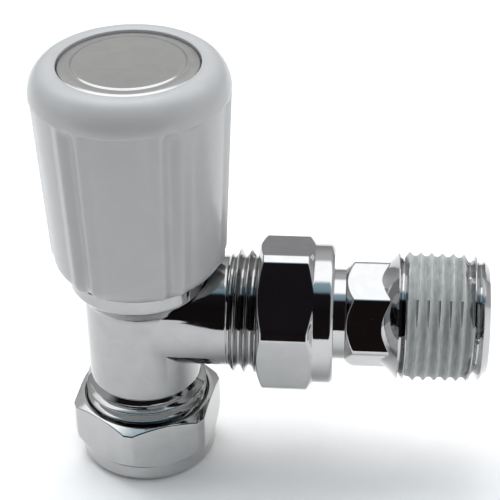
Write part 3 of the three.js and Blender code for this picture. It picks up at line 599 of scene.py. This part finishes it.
def build_compression_nut():
    low, high = nut_low.z, nut_high.z
    collar_radius = NUT_FLATS / math.sqrt(3) - COLLAR_TRIM
    mouth = CREST + MOUTH_FLARE
    hole = PIPE_RADIUS + 0.2
    thread_bottom = low + NUT_FLOOR + FEMALE_CREST - hole

    def flare(radius, height):
        return max(radius, mouth - (high - height))

    def outline(angle):
        radius = hexagon_radius(angle, NUT_FLATS, COMPRESSION_TURN, COMPRESSION_ROUND, CORNER_WEAR)
        rim, knee = hexagon_knots(NUT_FLATS, radius, high, -1)
        lower = max(radius - collar_radius, 0)
        outside = [
            (hole + 0.5, low, 0.1),
            (collar_radius - 1.0, low, 0.5),
            (collar_radius, low + 1.0, 0.5),
            (collar_radius, COLLAR_TOP, 0.3),
            (collar_radius + lower * 0.9 + 0.02, COLLAR_TOP + lower * 0.9 + 0.05, 0.12),
            (radius, COLLAR_TOP + 1.5 + lower * 0.6, 0.3),
            knee,
            rim,
            (mouth, high, 0.12),
        ]
        screw = screw_rows(
            angle, thread_bottom, high - SCREW_FIT, (FEMALE_CREST, mouth - SCREW_FIT),
            phase=SOCKET_PHASE, inside=SCREW_FIT, envelope=flare,
        )
        return rounded(outside) + screw[::-1] + [(hole, low + NUT_FLOOR), (hole, low + 0.5)]

    mesh = turned_mesh("compression_nut_shell", hexagon_angles(COMPRESSION_TURN), outline)
    node = "compression_nut"
    return add_piece("compression_nut_shell", mesh, NUT_CHROME, node, "chrome", node)


def build_olive():
    low, high = (c.z for c in box_mm("olive"))
    inner = PIPE_RADIUS + 0.075
    outer = inner + 1.25

    def outline(_):
        return rounded(
            [
                (inner, low, 0.1),
                (inner + 0.3, low, 0.1),
                (outer, low + 1.4, 0.5),
                (outer, low + 2.9, 0.6),
                (inner + 0.2, high, 0.1),
                (inner, high, 0.1),
            ]
        )

    mesh = turned_mesh("olive_ring", even_angles(BORE_SIDES), outline)
    return add_piece("olive_ring", mesh, BRASS, "olive", "brass", "olive")


def build_union_nut():
    low, high = union_low.x, union_high.x
    hex_end = low + UNION_HEX
    collar_radius = UNION_COLLAR_RADIUS
    shoulder = high - UNION_BACK_WALL
    mouth = CREST + MOUTH_FLARE
    neck = SPIGOT_SOCKET

    def flare(radius, height):
        return max(radius, mouth - (height - low))

    def outline(angle):
        radius = hexagon_radius(angle, NUT_FLATS, UNION_TURN, UNION_ROUND, CORNER_WEAR)
        rim, knee = hexagon_knots(NUT_FLATS, radius, low, 1)
        back_rim, back_knee = hexagon_knots(NUT_FLATS, radius, hex_end, -1, slope=0.6)
        outside = [
            (neck, high, 0.1),
            (collar_radius - 0.5, high, 0.15),
            (collar_radius, high - 0.5, 0.3),
            (collar_radius, hex_end + 0.3, 0.15),
            (max(back_rim[0], collar_radius) + 0.02, hex_end, 0.1),
            back_knee,
            knee,
            rim,
            (mouth, low, 0.12),
        ]
        screw = screw_rows(
            angle, low + SCREW_FIT, shoulder, (mouth - SCREW_FIT, FEMALE_CREST),
            inside=SCREW_FIT, phase=UNION_PHASE, envelope=flare,
        )
        return rounded(outside) + screw + [(neck, shoulder)]

    mesh = turned_mesh("union_nut_shell", hexagon_angles(UNION_TURN), outline, on_branch)
    return add_piece("union_nut_shell", mesh, NUT_CHROME, "union_nut", "chrome", "union_nut")


# ---------- tail

SEAL_GROOVE = 1.02
CLIP_GROOVE = 0.7
TAIL_BORE = 6.2
TAIL_WALL = 2.15  # wall of the tail's narrow spigot end
TAIL_TURN = 50.0
TAIL_NECK = 1.9  # bare neck between the union nut and the tail's hexagon
TAIL_NECK_RADIUS = SPIGOT_SOCKET - 0.2
TAIL_FLATS = 2 * (TAIL_NECK_RADIUS + 0.35)
TAIL_ROOT = TAIL_CREST - THREAD_DEPTH
TAIL_TAPER = 1 / 64
TAIL_THREAD = 14.9
TAIL_FLARE = 2.8
TAIL_CURVE = 0.4  # share of the flare's rise that comes late, which makes it concave
TAIL_HEX = 7.3
TAIL_PHASE = 0.0
TAIL_START = tail_high.x - TAIL_THREAD
COAT_START = 1.3  # first turns that stay bare
COAT_END = 3.1  # bare turns at the mouth
COAT_FILL = 0.5  # how much of each groove's depth the sealant fills


def flare_radius(share):
    """Radius of the concave flare, from its start at 0 to the thread at 1."""
    flat = TAIL_FLATS / 2
    return flat + (TAIL_CREST - flat) * ((1 - TAIL_CURVE) * share + TAIL_CURVE * share**2)


def flare_share(radius):
    """How far along the flare it reaches a radius: 0 at its start and 1 at the thread."""
    flat = TAIL_FLATS / 2
    rise = min(max((radius - flat) / (TAIL_CREST - flat), 0.0), 1.0)
    early = 1 - TAIL_CURVE
    return (math.sqrt(early**2 + 4 * TAIL_CURVE * rise) - early) / (2 * TAIL_CURVE)


def build_tail():
    start, end = tail_low.x, tail_high.x
    neck = TAIL_NECK_RADIUS
    hex_start = union_high.x + TAIL_NECK
    flare_start = TAIL_START - TAIL_FLARE
    ring_foot = union_high.x - UNION_BACK_WALL - 0.15 - 1.1
    seal_middle = (BRANCH_LENGTH - SPIGOT_DEPTH + 0.3 + BRANCH_LENGTH) / 2
    bore, narrow = TAIL_BORE, neck - TAIL_WALL
    step = hex_start + TAIL_HEX / 2
    tip_root = TAIL_ROOT - 0.5

    def mouth(radius, height):
        return min(radius, tip_root + (end - height) * 1.2)

    def outline(angle):
        radius = hexagon_radius(angle, TAIL_FLATS, TAIL_TURN, rounding=1.1)
        flat = TAIL_FLATS / 2
        head = [
            (narrow, start, 0.15),
            (neck - 0.5, start, 0.1),
            (neck, start + 0.5, 0.1),
            *groove(neck, SEAL_GROOVE, seal_middle - 0.7, seal_middle + 0.7),
            *groove(neck, CLIP_GROOVE, ring_foot - 0.15, ring_foot + 1.25),
            (neck, hex_start, 0.1),
            (flat - 0.25, hex_start, 0.1),
            (radius, hex_start + (radius - flat + 0.25), 0.25),
        ]
        meet = flare_share(radius)
        head.append((radius, flare_start + TAIL_FLARE * meet, 0.12))
        flare = []
        for part in range(1, 15):
            height = meet + (1 - meet) * part / 14
            flare.append((flare_radius(height), flare_start + TAIL_FLARE * height))
        screw = screw_rows(
            angle, TAIL_START + 0.12, end, (TAIL_CREST - 0.02, tip_root),
            taper=TAIL_TAPER, phase=TAIL_PHASE, envelope=mouth, crest=TAIL_CREST,
        )
        inside = [(bore + 0.3, end), (bore, end - 0.4), (bore, step + 0.9), (narrow, step)]
        points = rounded(head + [flare[0]], closed=False)
        return points[:-1] + flare + screw + inside

    mesh = turned_mesh("tail_shell", hexagon_angles(TAIL_TURN), outline, on_branch)
    return add_piece("tail_shell", mesh, NUT_CHROME, "tail", "chrome", "tailpiece")


def build_sealant():
    """A thin skin of sealant over the middle turns of the tail's thread, ragged at both ends."""
    low, high = TAIL_START + 1.0, tail_high.x - 0.9

    def coat_shape(step):
        bare = float(thread_shape(step))
        return COAT_FILL + (1 - COAT_FILL) * bare**1.6

    def raggedness(angle, salt):
        spot = Vector((math.cos(angle) * 1.4, math.sin(angle) * 1.4, salt))
        return noise.noise(spot) + 0.5 * noise.noise(spot * 3.1)

    def outline(angle):
        around = angle % FULL_TURN
        first = TAIL_START + COAT_START + 0.5 * raggedness(around, 3.0)
        last = tail_high.x - COAT_END + 1.5 * raggedness(around, 11.0)

        def skin(radius, height):
            lump = Vector((math.cos(around) * 3, math.sin(around) * 3, height * 0.9))
            thick = 0.10 + 0.03 * noise.noise(lump)
            edge = min(height - first, last - height)
            cover = min(max(edge / 0.35, -1.0), 1.0)
            return radius + thick if cover >= 1 else radius + thick * cover - (1 - cover) * 0.25

        screw = screw_rows(
            angle, low, high, (TAIL_ROOT - 1.0, TAIL_ROOT - 1.4),
            taper=TAIL_TAPER, phase=TAIL_PHASE, shape=coat_shape, envelope=skin, crest=TAIL_CREST,
        )
        return screw + [(TAIL_ROOT - 1.6, high), (TAIL_ROOT - 1.6, low)]

    mesh = turned_mesh("thread_sealant", even_angles(220), outline, on_branch)
    return add_piece("thread_sealant", mesh, SEALANT, "tail", "seal")


# ---------- cap

CAP_FACETS = 6
CAP_TURN = -90.0
CAP_CREASE_DROP = 5.0  # cap's top down to the crease that ends the facets
CAP_FOOT_RADIUS = 14.5
CAP_SHOULDER_RADIUS = cap_high.x
CAP_LIP_RADIUS = 12.35
FACET_INSET = 0.45
GROOVE_DEPTH = 0.85
GROOVE_HALF = 7.5
RIM_HEIGHT = 2.6
RIM_WIDTH = 2.0
DISC_RECESS = 1.6
CAP_INSIDE = 12.6
SLEEVE_INNER = 7.7
SLEEVE_OUTER = 9.2
CAP_ROOF_DROP = 3.6
CAP_WALL = 1.9
SLEEVE_FOOT = bonnet_low.z + 13.95


def smooth_step(value):
    value = np.clip(value, 0, 1)
    return value * value * (3 - 2 * value)


def cap_surface(angle, height):
    """Radius of the cap's facetted side at an angle and a height below the crease."""
    crease = cap_high.z - CAP_CREASE_DROP
    share = (height - cap_low.z) / (crease - cap_low.z)
    base = CAP_FOOT_RADIUS + (CAP_SHOULDER_RADIUS - CAP_FOOT_RADIUS) * share
    facet = 360 / CAP_FACETS
    off_middle = (math.degrees(angle) - CAP_TURN + facet / 2) % facet - facet / 2
    off_groove = facet / 2 - abs(off_middle)
    cut_in = smooth_step((crease - height) / 0.55)
    inset = FACET_INSET * smooth_step((off_groove - GROOVE_HALF * 0.7) / 9) * cut_in
    fade = smooth_step((crease + 0.6 - height) / 2.4)
    dip = GROOVE_DEPTH * (1 - smooth_step(off_groove / GROOVE_HALF)) * fade
    return base - inset - dip


def build_cap():
    foot, top = cap_low.z, cap_high.z
    crease = top - CAP_CREASE_DROP
    roof = top - CAP_ROOF_DROP
    rim_steps = [foot + RIM_HEIGHT * (1 - math.cos(math.pi / 2 * i / 9)) for i in range(1, 10)]
    side_steps = list(np.linspace(foot + RIM_HEIGHT, crease - 1.6, 22)[1:])
    ledge_steps = list(np.linspace(crease - 1.6, crease, 17)[1:])
    dome_steps = [math.pi / 2 * i / 20 for i in range(1, 20)]
    recess_radius = disc_high.x + 0.15

    def outline(angle):
        side = []
        for height in rim_steps + side_steps + ledge_steps:
            over = min(max(1 - (height - foot) / RIM_HEIGHT, 0), 1)
            curl = RIM_WIDTH * (1 - math.sqrt(max(1 - over**2, 0)))
            side.append((float(cap_surface(angle, height)) - curl, height))
        shoulder = side[-1][0]
        dome = []
        for turn in dome_steps:
            height = crease + CAP_CREASE_DROP * math.sin(turn)
            full = CAP_LIP_RADIUS + (CAP_SHOULDER_RADIUS - CAP_LIP_RADIUS) * math.cos(turn)
            fade = max(1 - (height - crease) / 1.6, 0) ** 2
            dome.append((full - (CAP_SHOULDER_RADIUS - shoulder) * fade, height))
        first = side[0][0] - 0.25
        under = rounded(
            [
                (0, roof),
                (SLEEVE_INNER, roof, 0.2),
                (SLEEVE_INNER, SLEEVE_FOOT, 0.2),
                (SLEEVE_OUTER, SLEEVE_FOOT, 0.2),
                (SLEEVE_OUTER, roof, 0.3),
                (CAP_INSIDE, roof, 0.5),
                (CAP_INSIDE + 1.3, crease - CAP_WALL, 0.5),
                (CAP_INSIDE, foot + 0.2, 0.15),
                (CAP_INSIDE + 0.2, foot, 0.1),
                (first, foot),
            ],
            closed=False,
        )
        over_top = rounded(
            [
                dome[-1],
                (CAP_LIP_RADIUS - 0.1, top, 0.4),
                (recess_radius, top - 0.25, 0.15),
                (recess_radius, top - DISC_RECESS, 0.1),
                (0, top - DISC_RECESS),
            ],
            closed=False,
        )
        return under + side + dome + over_top[1:]

    mesh = turned_mesh("cap_moulding", even_angles(CAP_SIDES), outline, closed=False)
    return add_piece("cap_moulding", mesh, WHITE_PLASTIC, "cap", "white_plastic", "lockshield_cap")


def build_disc():
    low, high = disc_low.z, disc_high.z
    radius = disc_high.x
    plateau = radius - 2.35

    def outline(_):
        return rounded(
            [
                (0, low),
                (radius - 0.2, low, 0.15),
                (radius, low + 0.2, 0.15),
                (radius, high - 0.45, 0.3),
                (radius - 0.9, high - 0.2, 0.3),
                (plateau + 0.35, high - 0.2, 0.15),
                (plateau, high - 0.02, 0.2),
                (plateau * 0.55, high - 0.1, 1.5),
                (0, high - 0.14),
            ],
            closed=False,
        )

    mesh = turned_mesh("cap_disc_pressing", even_angles(240), outline, closed=False)
    return add_piece("cap_disc_pressing", mesh, DISC_CHROME, "cap", "chrome", "cap_disc")


# ---------- headwork under the cap


def build_bonnet():
    low, high = bonnet_low.z, bonnet_high.z
    collar_top = body_high.z
    flange_low = collar_top + 1.0
    flange_high = flange_low + 1.2
    hex_top = flange_high + 4.3
    flats = 19.0
    turret = 7.5
    flange = bonnet_high.x
    grip_low, grip_high = (c.z for c in box_mm("cap_grip_ring"))
    key = 5.4
    spindle_hole = 3.2
    web_low, web_high = high - 9.7, high - 5.4
    gland_hole = 5.2
    pilot = BONNET_CREST - 0.95

    def outline(angle):
        radius = hexagon_radius(angle, flats, 0.0, rounding=0.5)
        rim, knee = hexagon_knots(flats, radius, hex_top, -1)
        key_radius = hexagon_radius(angle, 2 * key, 30.0, rounding=0.3)
        return rounded(
            [
                (key_radius, low, 0.1),
                (pilot - 0.4, low, 0.1),
                (pilot, low + 0.4, 0.1),
                (pilot, collar_top - 3.0, 0.1),
                (BONNET_CREST, collar_top - 2.2, 0.1),
                (BONNET_CREST, flange_low, 0.05),
                (flange - 0.3, flange_low, 0.1),
                (flange, flange_low + 0.3, 0.1),
                (flange, flange_high, 0.25),
                (radius + 0.02, flange_high + 0.02, 0.1),
                knee,
                rim,
                (turret, hex_top + 0.02, 0.15),
                *groove(turret, CLIP_GROOVE, grip_low - 0.1, grip_high + 0.1, lip=0.1),
                (turret, high - 0.5, 0.15),
                (turret - 0.5, high, 0.15),
                (gland_hole + 0.2, high, 0.1),
                (gland_hole, high - 0.2, 0.05),
                (gland_hole, web_high, 0.1),
                (spindle_hole, web_high, 0.1),
                (spindle_hole, web_low, 0.1),
                (key_radius, web_low, 0.1),
            ]
        )

    mesh = turned_mesh("headwork_bonnet", hexagon_angles(0.0), outline)
    return add_piece("headwork_bonnet", mesh, BRASS, "valve", "brass", "bonnet")


def build_gland_nut():
    low, high = gland_low.z, gland_high.z
    flats = 12.5
    head = bonnet_high.z + 0.3
    hole = 3.2

    def outline(angle):
        radius = hexagon_radius(angle, flats, 0.0, rounding=0.4)
        rim, knee = hexagon_knots(flats, radius, high, -1)
        return rounded(
            [
                (hole, low, 0.1),
                (5.0, low, 0.15),
                (5.0, head, 0.1),
                (flats / 2 - 0.3, head, 0.1),
                (radius, head + (radius - flats / 2 + 0.3) * 0.5, 0.2),
                knee,
                rim,
                (hole + 0.4, high, 0.1),
                (hole, high - 0.4, 0.1),
            ]
        )

    mesh = turned_mesh("gland_nut_turned", hexagon_angles(0.0), outline)
    return add_piece("gland_nut_turned", mesh, BRASS, "valve", "brass", "gland_nut")


SLOT_SIZE = (0.008, 0.0009, 0.002)  # screwdriver slot in the spindle's end, in metres


def build_spindle():
    low, high = spindle_low.z, spindle_high.z
    shank = 3.0
    square = 4.6
    clip_low, clip_high = (c.z for c in box_mm("spindle_circlip"))
    seal_low, seal_high = (c.z for c in box_mm("spindle_seal"))
    square_foot = high - 5.5
    flange_low, flange_high = bonnet_high.z - 12.45, bonnet_high.z - 10.85
    lift_pitch, lift_crest, lift_root = 1.0, 3.5, 3.08

    def square_radius(angle):
        quarter = math.pi / 2
        off = (angle % quarter) - quarter / 2
        return min(square / 2 / math.cos(abs(abs(off) - quarter / 2)), shank - 0.02)

    def lift_screw(angle):
        turn = 1 - angle / FULL_TURN
        start, end = low, flange_low - 0.6
        rows = []
        for lap in range(math.floor(start) - 2, math.ceil(end) + 2):
            for step in THREAD_PHASES:
                height = (lap + step + turn) * lift_pitch
                if height <= start:
                    rows.append((lift_root - 0.3, start))
                elif height >= end:
                    rows.append((lift_root, end))
                else:
                    radius = lift_root + (lift_crest - lift_root) * float(thread_shape(step))
                    rows.append((min(radius, lift_root - 0.3 + (height - start)), height))
        return rows

    def outline(angle):
        key = square_radius(angle)
        rest = rounded(
            [
                (lift_root, flange_low - 0.6),
                (lift_root, flange_low, 0.1),
                (5.0, flange_low, 0.15),
                (5.0, flange_high, 0.15),
                (shank, flange_high, 0.15),
                *groove(shank, 0.8, seal_low - 0.1, seal_high + 0.1),
                *groove(shank, CLIP_GROOVE, clip_low - 0.1, clip_high + 0.1),
                (shank, square_foot - 0.02, 0.05),
                (key, square_foot + 0.15, 0.05),
                (key, high - 0.5, 0.15),
                (key - 0.4, high, 0.15),
                (0, high),
            ],
            closed=False,
        )
        return [(0, low)] + lift_screw(angle) + rest[1:]

    solid = turned_mesh("spindle_solid", even_angles(144), outline, closed=False)
    slot = bpy.data.meshes.new("spindle_slot")
    work = bmesh.new()
    slot_size = Matrix.Diagonal((*SLOT_SIZE, 1))
    bmesh.ops.create_cube(work, size=1, matrix=Matrix.Translation((0, 0, high * MM)) @ slot_size)
    bmesh.ops.bevel(work, geom=work.edges[:], offset=0.0001, segments=2, affect="EDGES")
    work.to_mesh(slot)
    work.free()
    mesh = combined("spindle_turned", solid, ("DIFFERENCE", slot))
    return add_piece("spindle_turned", mesh, BRASS, "spindle", "brass", "spindle")


def split_ring(name, inner, outer, low, high, gap, facing, place):
    """A flat ring with one opening, and rounded edges."""
    half = math.radians(gap / 2)
    start, span = math.radians(facing) + half, FULL_TURN - 2 * half
    outline = rounded([(inner, low, 0.12), (outer, low, 0.12), (outer, high, 0.12), (inner, high, 0.12)])
    angles = [start + span * i / RING_SIDES for i in range(RING_SIDES + 1)]
    return turned_mesh(name, angles, lambda _: outline, place, capped=True)


def o_ring(name, node, place, along):
    """A round-section ring in the space of a CAD seal."""
    low, high = box_mm(node)
    lowest, highest = (low.x, high.x) if along == "x" else (low.z, high.z)
    outer = high.y
    half = (highest - lowest) / 2
    middle = (highest + lowest) / 2
    section = even_angles(20)[:-1]

    def outline(_):
        return [(outer - half + half * math.cos(t), middle + half * math.sin(t)) for t in section]

    return turned_mesh(name, even_angles(RING_SIDES), outline, place)


def plain_ring(name, node, inner, edge):
    """A flat washer round the spindle, in the space of a CAD one."""
    low, high = box_mm(node)
    lowest, highest, outer = low.z, high.z, high.y

    def outline(_):
        corners = ((inner, lowest), (outer, lowest), (outer, highest), (inner, highest))
        return rounded([(*corner, edge) for corner in corners])

    return turned_mesh(name, even_angles(RING_SIDES), outline)


# Piece, CAD node, how it is placed, the axis it lies along, and body
O_RINGS = (
    ("cap_grip", "cap_grip_ring", upright, "z", "cap_grip"),
    ("union_o_ring", "union_seal", on_branch, "x", "tail"),
    ("spindle_o_ring", "spindle_seal", upright, "z", "spindle"),
)
# Piece, CAD node, inner radius, edge rounding, material, body and slot
WASHERS = (
    ("bonnet_joint", "bonnet_seal", 8.4, 0.12, PALE_SEAL, "valve", "seal"),
    ("thrust_ring", "thrust_washer", 3.15, 0.12, PALE_SEAL, "valve", "seal"),
    ("gland_fill", "gland_packing", 3.15, 0.12, PALE_SEAL, "valve", "seal"),
    ("plug_washer", "seat_washer", 1.7, 0.25, RUBBER, "plug", "rubber"),
)


def build_small_parts():
    clip_low, clip_high = box_mm("spindle_circlip")
    add_piece(
        "spindle_clip",
        split_ring("spindle_clip", 2.45, 4.4, clip_low.z, clip_high.z, 36, 180, upright),
        STEEL, "spindle", "steel", "spindle_circlip",
    )
    ring_low, ring_high = box_mm("union_thrust_ring")
    add_piece(
        "union_clip",
        split_ring(
            "union_clip", TAIL_NECK_RADIUS - 0.55, TAIL_NECK_RADIUS + 1.5,
            ring_low.x, ring_high.x, 36, -90, on_branch,
        ),
        STEEL, "tail", "steel", "union_thrust_ring",
    )
    for name, node, place, along, body in O_RINGS:
        add_piece(name, o_ring(name, node, place, along), RUBBER, body, "rubber", node)
    for name, node, inner, edge, material, body, slot in WASHERS:
        add_piece(name, plain_ring(name, node, inner, edge=edge), material, body, slot, node)


def finish_kept_nodes():
    """Better materials for the hidden CAD solids that keep their shape."""
    for node in ("valve_plug", "washer_screw"):
        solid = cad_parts[node]
        solid.data.materials.clear()
        solid.data.materials.append(BRASS)


# ---------- room, light and camera

VIEW_AZIMUTH = -4.48
VIEW_PITCH = 33.55
VIEW_ROLL = -0.72
VIEW_DISTANCE = 272.87
AIM_HEIGHT = 29.0
AIM_RIGHT = 18.28
AIM_UP = 9.858
LENS = 115.3
FLOOR_FRONT = 0.23
FLOOR_SIDE = 0.62
FLOOR_BACK = 0.75
FLOOR_GAP = 0.0004  # keeps the nut from cutting into the floor


def build_camera():
    azimuth, pitch, roll = (math.radians(a) for a in (VIEW_AZIMUTH, VIEW_PITCH, VIEW_ROLL))
    forward = Vector(
        (math.sin(azimuth) * math.cos(pitch), math.cos(azimuth) * math.cos(pitch), -math.sin(pitch))
    )
    level = Vector((math.cos(azimuth), -math.sin(azimuth), 0))
    over = level.cross(forward)
    right = level * math.cos(roll) + over * math.sin(roll)
    up = over * math.cos(roll) - level * math.sin(roll)
    aim = Vector((0, 0, AIM_HEIGHT)) + right * AIM_RIGHT + up * AIM_UP
    place = (aim - forward * VIEW_DISTANCE) * MM
    data = bpy.data.cameras.new("camera")
    data.lens = LENS
    data.sensor_width = 36
    data.clip_start = 0.01
    data.clip_end = 10
    camera = bpy.data.objects.new("camera", data)
    bpy.context.collection.objects.link(camera)
    turn = Matrix((right, up, -forward)).transposed().to_4x4()
    camera.matrix_world = Matrix.Translation(place) @ turn
    bpy.context.scene.camera = camera


def build_floor():
    shade = Shader("floor_paper")
    fibre = shade.noise(0.25, 5.0)
    shade.drive("Base Color", shade.blend(fibre, (0.885, 0.885, 0.885), (0.90, 0.90, 0.90)))
    shade.set(Roughness=0.9)
    mesh = bpy.data.meshes.new("floor")
    ground = nut_low.z * MM - FLOOR_GAP
    front = [(x, -FLOOR_FRONT, ground) for x in (-FLOOR_SIDE, FLOOR_SIDE)]
    back = [(x, FLOOR_BACK, ground) for x in (FLOOR_SIDE, -FLOOR_SIDE)]
    mesh.from_pydata(front + back, [], [(0, 1, 2, 3)])
    mesh.materials.append(shade.material)
    floor = bpy.data.objects.new("floor", mesh)
    bpy.context.collection.objects.link(floor)


ROOM_START = -90
ROOM_SPAN = 290
SIDE_WALLS = (0.62, 0.88)  # how far sideways the side walls begin and take over
SIDE_COLOUR = (0.62, 0.63, 0.65, 1)
CAMERA_SEES = (1, 1, 1, 1)
# The room along the arc from the front horizon, over the top, to the back: degrees and colour
ROOM = (
    (-90, (0.30, 0.30, 0.31)),
    (-14, (0.30, 0.30, 0.31)),
    (-8, (0.014, 0.010, 0.010)),
    (40, (0.010, 0.009, 0.010)),
    (66, (0.016, 0.014, 0.018)),
    (71, (0.30, 0.45, 0.55)),
    (84, (0.45, 0.62, 0.72)),
    (90, (2.05, 2.07, 2.10)),
    (127, (2.05, 2.07, 2.10)),
    (134, (0.80, 0.80, 0.82)),
    (150, (0.70, 0.71, 0.69)),
    (172, (0.42, 0.42, 0.43)),
    (184, (0.36, 0.36, 0.37)),
    (200, (0.60, 0.60, 0.61)),
)


def build_room():
    """Soft surroundings: dark behind the camera, a bright ceiling, grey walls. The camera sees white."""
    world = bpy.data.worlds.new("room")
    bpy.context.scene.world = world
    world.use_nodes = True
    nodes, links = world.node_tree.nodes, world.node_tree.links
    nodes.clear()

    def math_node(operation, first, second=None):
        node = nodes.new("ShaderNodeMath")
        node.operation = operation
        for index, value in enumerate((first, second)):
            if value is None:
                continue
            if isinstance(value, (int, float)):
                node.inputs[index].default_value = value
            else:
                links.new(value, node.inputs[index])
        return node.outputs[0]

    def colour_mix(share, first, second):
        node = nodes.new("ShaderNodeMix")
        node.data_type = "RGBA"
        links.new(share, node.inputs["Factor"])
        links.new(first, node.inputs[6])
        node.inputs[7].default_value = second
        return node.outputs[2]

    way = nodes.new("ShaderNodeTexCoord").outputs["Generated"]
    split = nodes.new("ShaderNodeSeparateXYZ")
    links.new(way, split.inputs[0])
    arc = math_node("ARCTAN2", split.outputs["Z"], math_node("MULTIPLY", split.outputs["Y"], -1))
    degrees = math_node("MULTIPLY", arc, 180 / math.pi)
    wrapped = math_node("WRAP", degrees, ROOM_START + 360)
    wrapped.node.inputs[2].default_value = ROOM_START
    share = math_node("DIVIDE", math_node("SUBTRACT", wrapped, ROOM_START), ROOM_SPAN)
    ramp = nodes.new("ShaderNodeValToRGB")
    stops = ramp.color_ramp.elements
    while len(stops) < len(ROOM):
        stops.new(0.5)
    for stop, (angle, colour) in zip(stops, ROOM):
        stop.position = (angle - ROOM_START) / ROOM_SPAN
        stop.color = (*colour, 1)
    links.new(share, ramp.inputs["Fac"])
    # The sides of the room are plain grey, and take over away from the front-to-back arc
    side = math_node("ABSOLUTE", split.outputs["X"])
    side_share = nodes.new("ShaderNodeMapRange")
    side_share.interpolation_type = "SMOOTHSTEP"
    side_share.inputs["From Min"].default_value = SIDE_WALLS[0]
    side_share.inputs["From Max"].default_value = SIDE_WALLS[1]
    links.new(side, side_share.inputs["Value"])
    room = colour_mix(side_share.outputs[0], ramp.outputs["Color"], SIDE_COLOUR)
    seen = colour_mix(nodes.new("ShaderNodeLightPath").outputs["Is Camera Ray"], room, CAMERA_SEES)
    background = nodes.new("ShaderNodeBackground")
    links.new(seen, background.inputs["Color"])
    output = nodes.new("ShaderNodeOutputWorld")
    links.new(background.outputs[0], output.inputs["Surface"])


LIGHT_AIM = (0.02, 0, 0.03)
# Name, place and size in metres, and power in watts
SOFTBOXES = (
    ("softbox_top", (-0.10, 0.22, 0.75), (0.5, 0.35), 2.4),
    ("softbox_left", (-0.65, -0.10, 0.40), (0.3, 0.4), 0.7),
    ("softbox_front", (0.25, -0.50, 0.60), (0.5, 0.4), 2.0),
)


def add_softbox(name, place, size, power):
    """A soft light that no reflection and no camera sees."""
    data = bpy.data.lights.new(name, "AREA")
    data.shape = "RECTANGLE"
    data.size, data.size_y = size
    data.energy = power
    light = bpy.data.objects.new(name, data)
    bpy.context.collection.objects.link(light)
    light.location = place
    light.rotation_euler = (Vector(LIGHT_AIM) - Vector(place)).to_track_quat("-Z", "Y").to_euler()
    light.visible_camera = False
    light.visible_glossy = False


def build_lights():
    for softbox in SOFTBOXES:
        add_softbox(*softbox)


def main():
    build_camera()
    build_room()
    build_floor()
    build_lights()
    build_body()
    build_compression_nut()
    build_olive()
    build_union_nut()
    build_tail()
    build_sealant()
    build_cap()
    build_disc()
    build_bonnet()
    build_gland_nut()
    build_spindle()
    build_small_parts()
    finish_kept_nodes()
    bpy.context.scene.view_settings.view_transform = "Standard"


main()
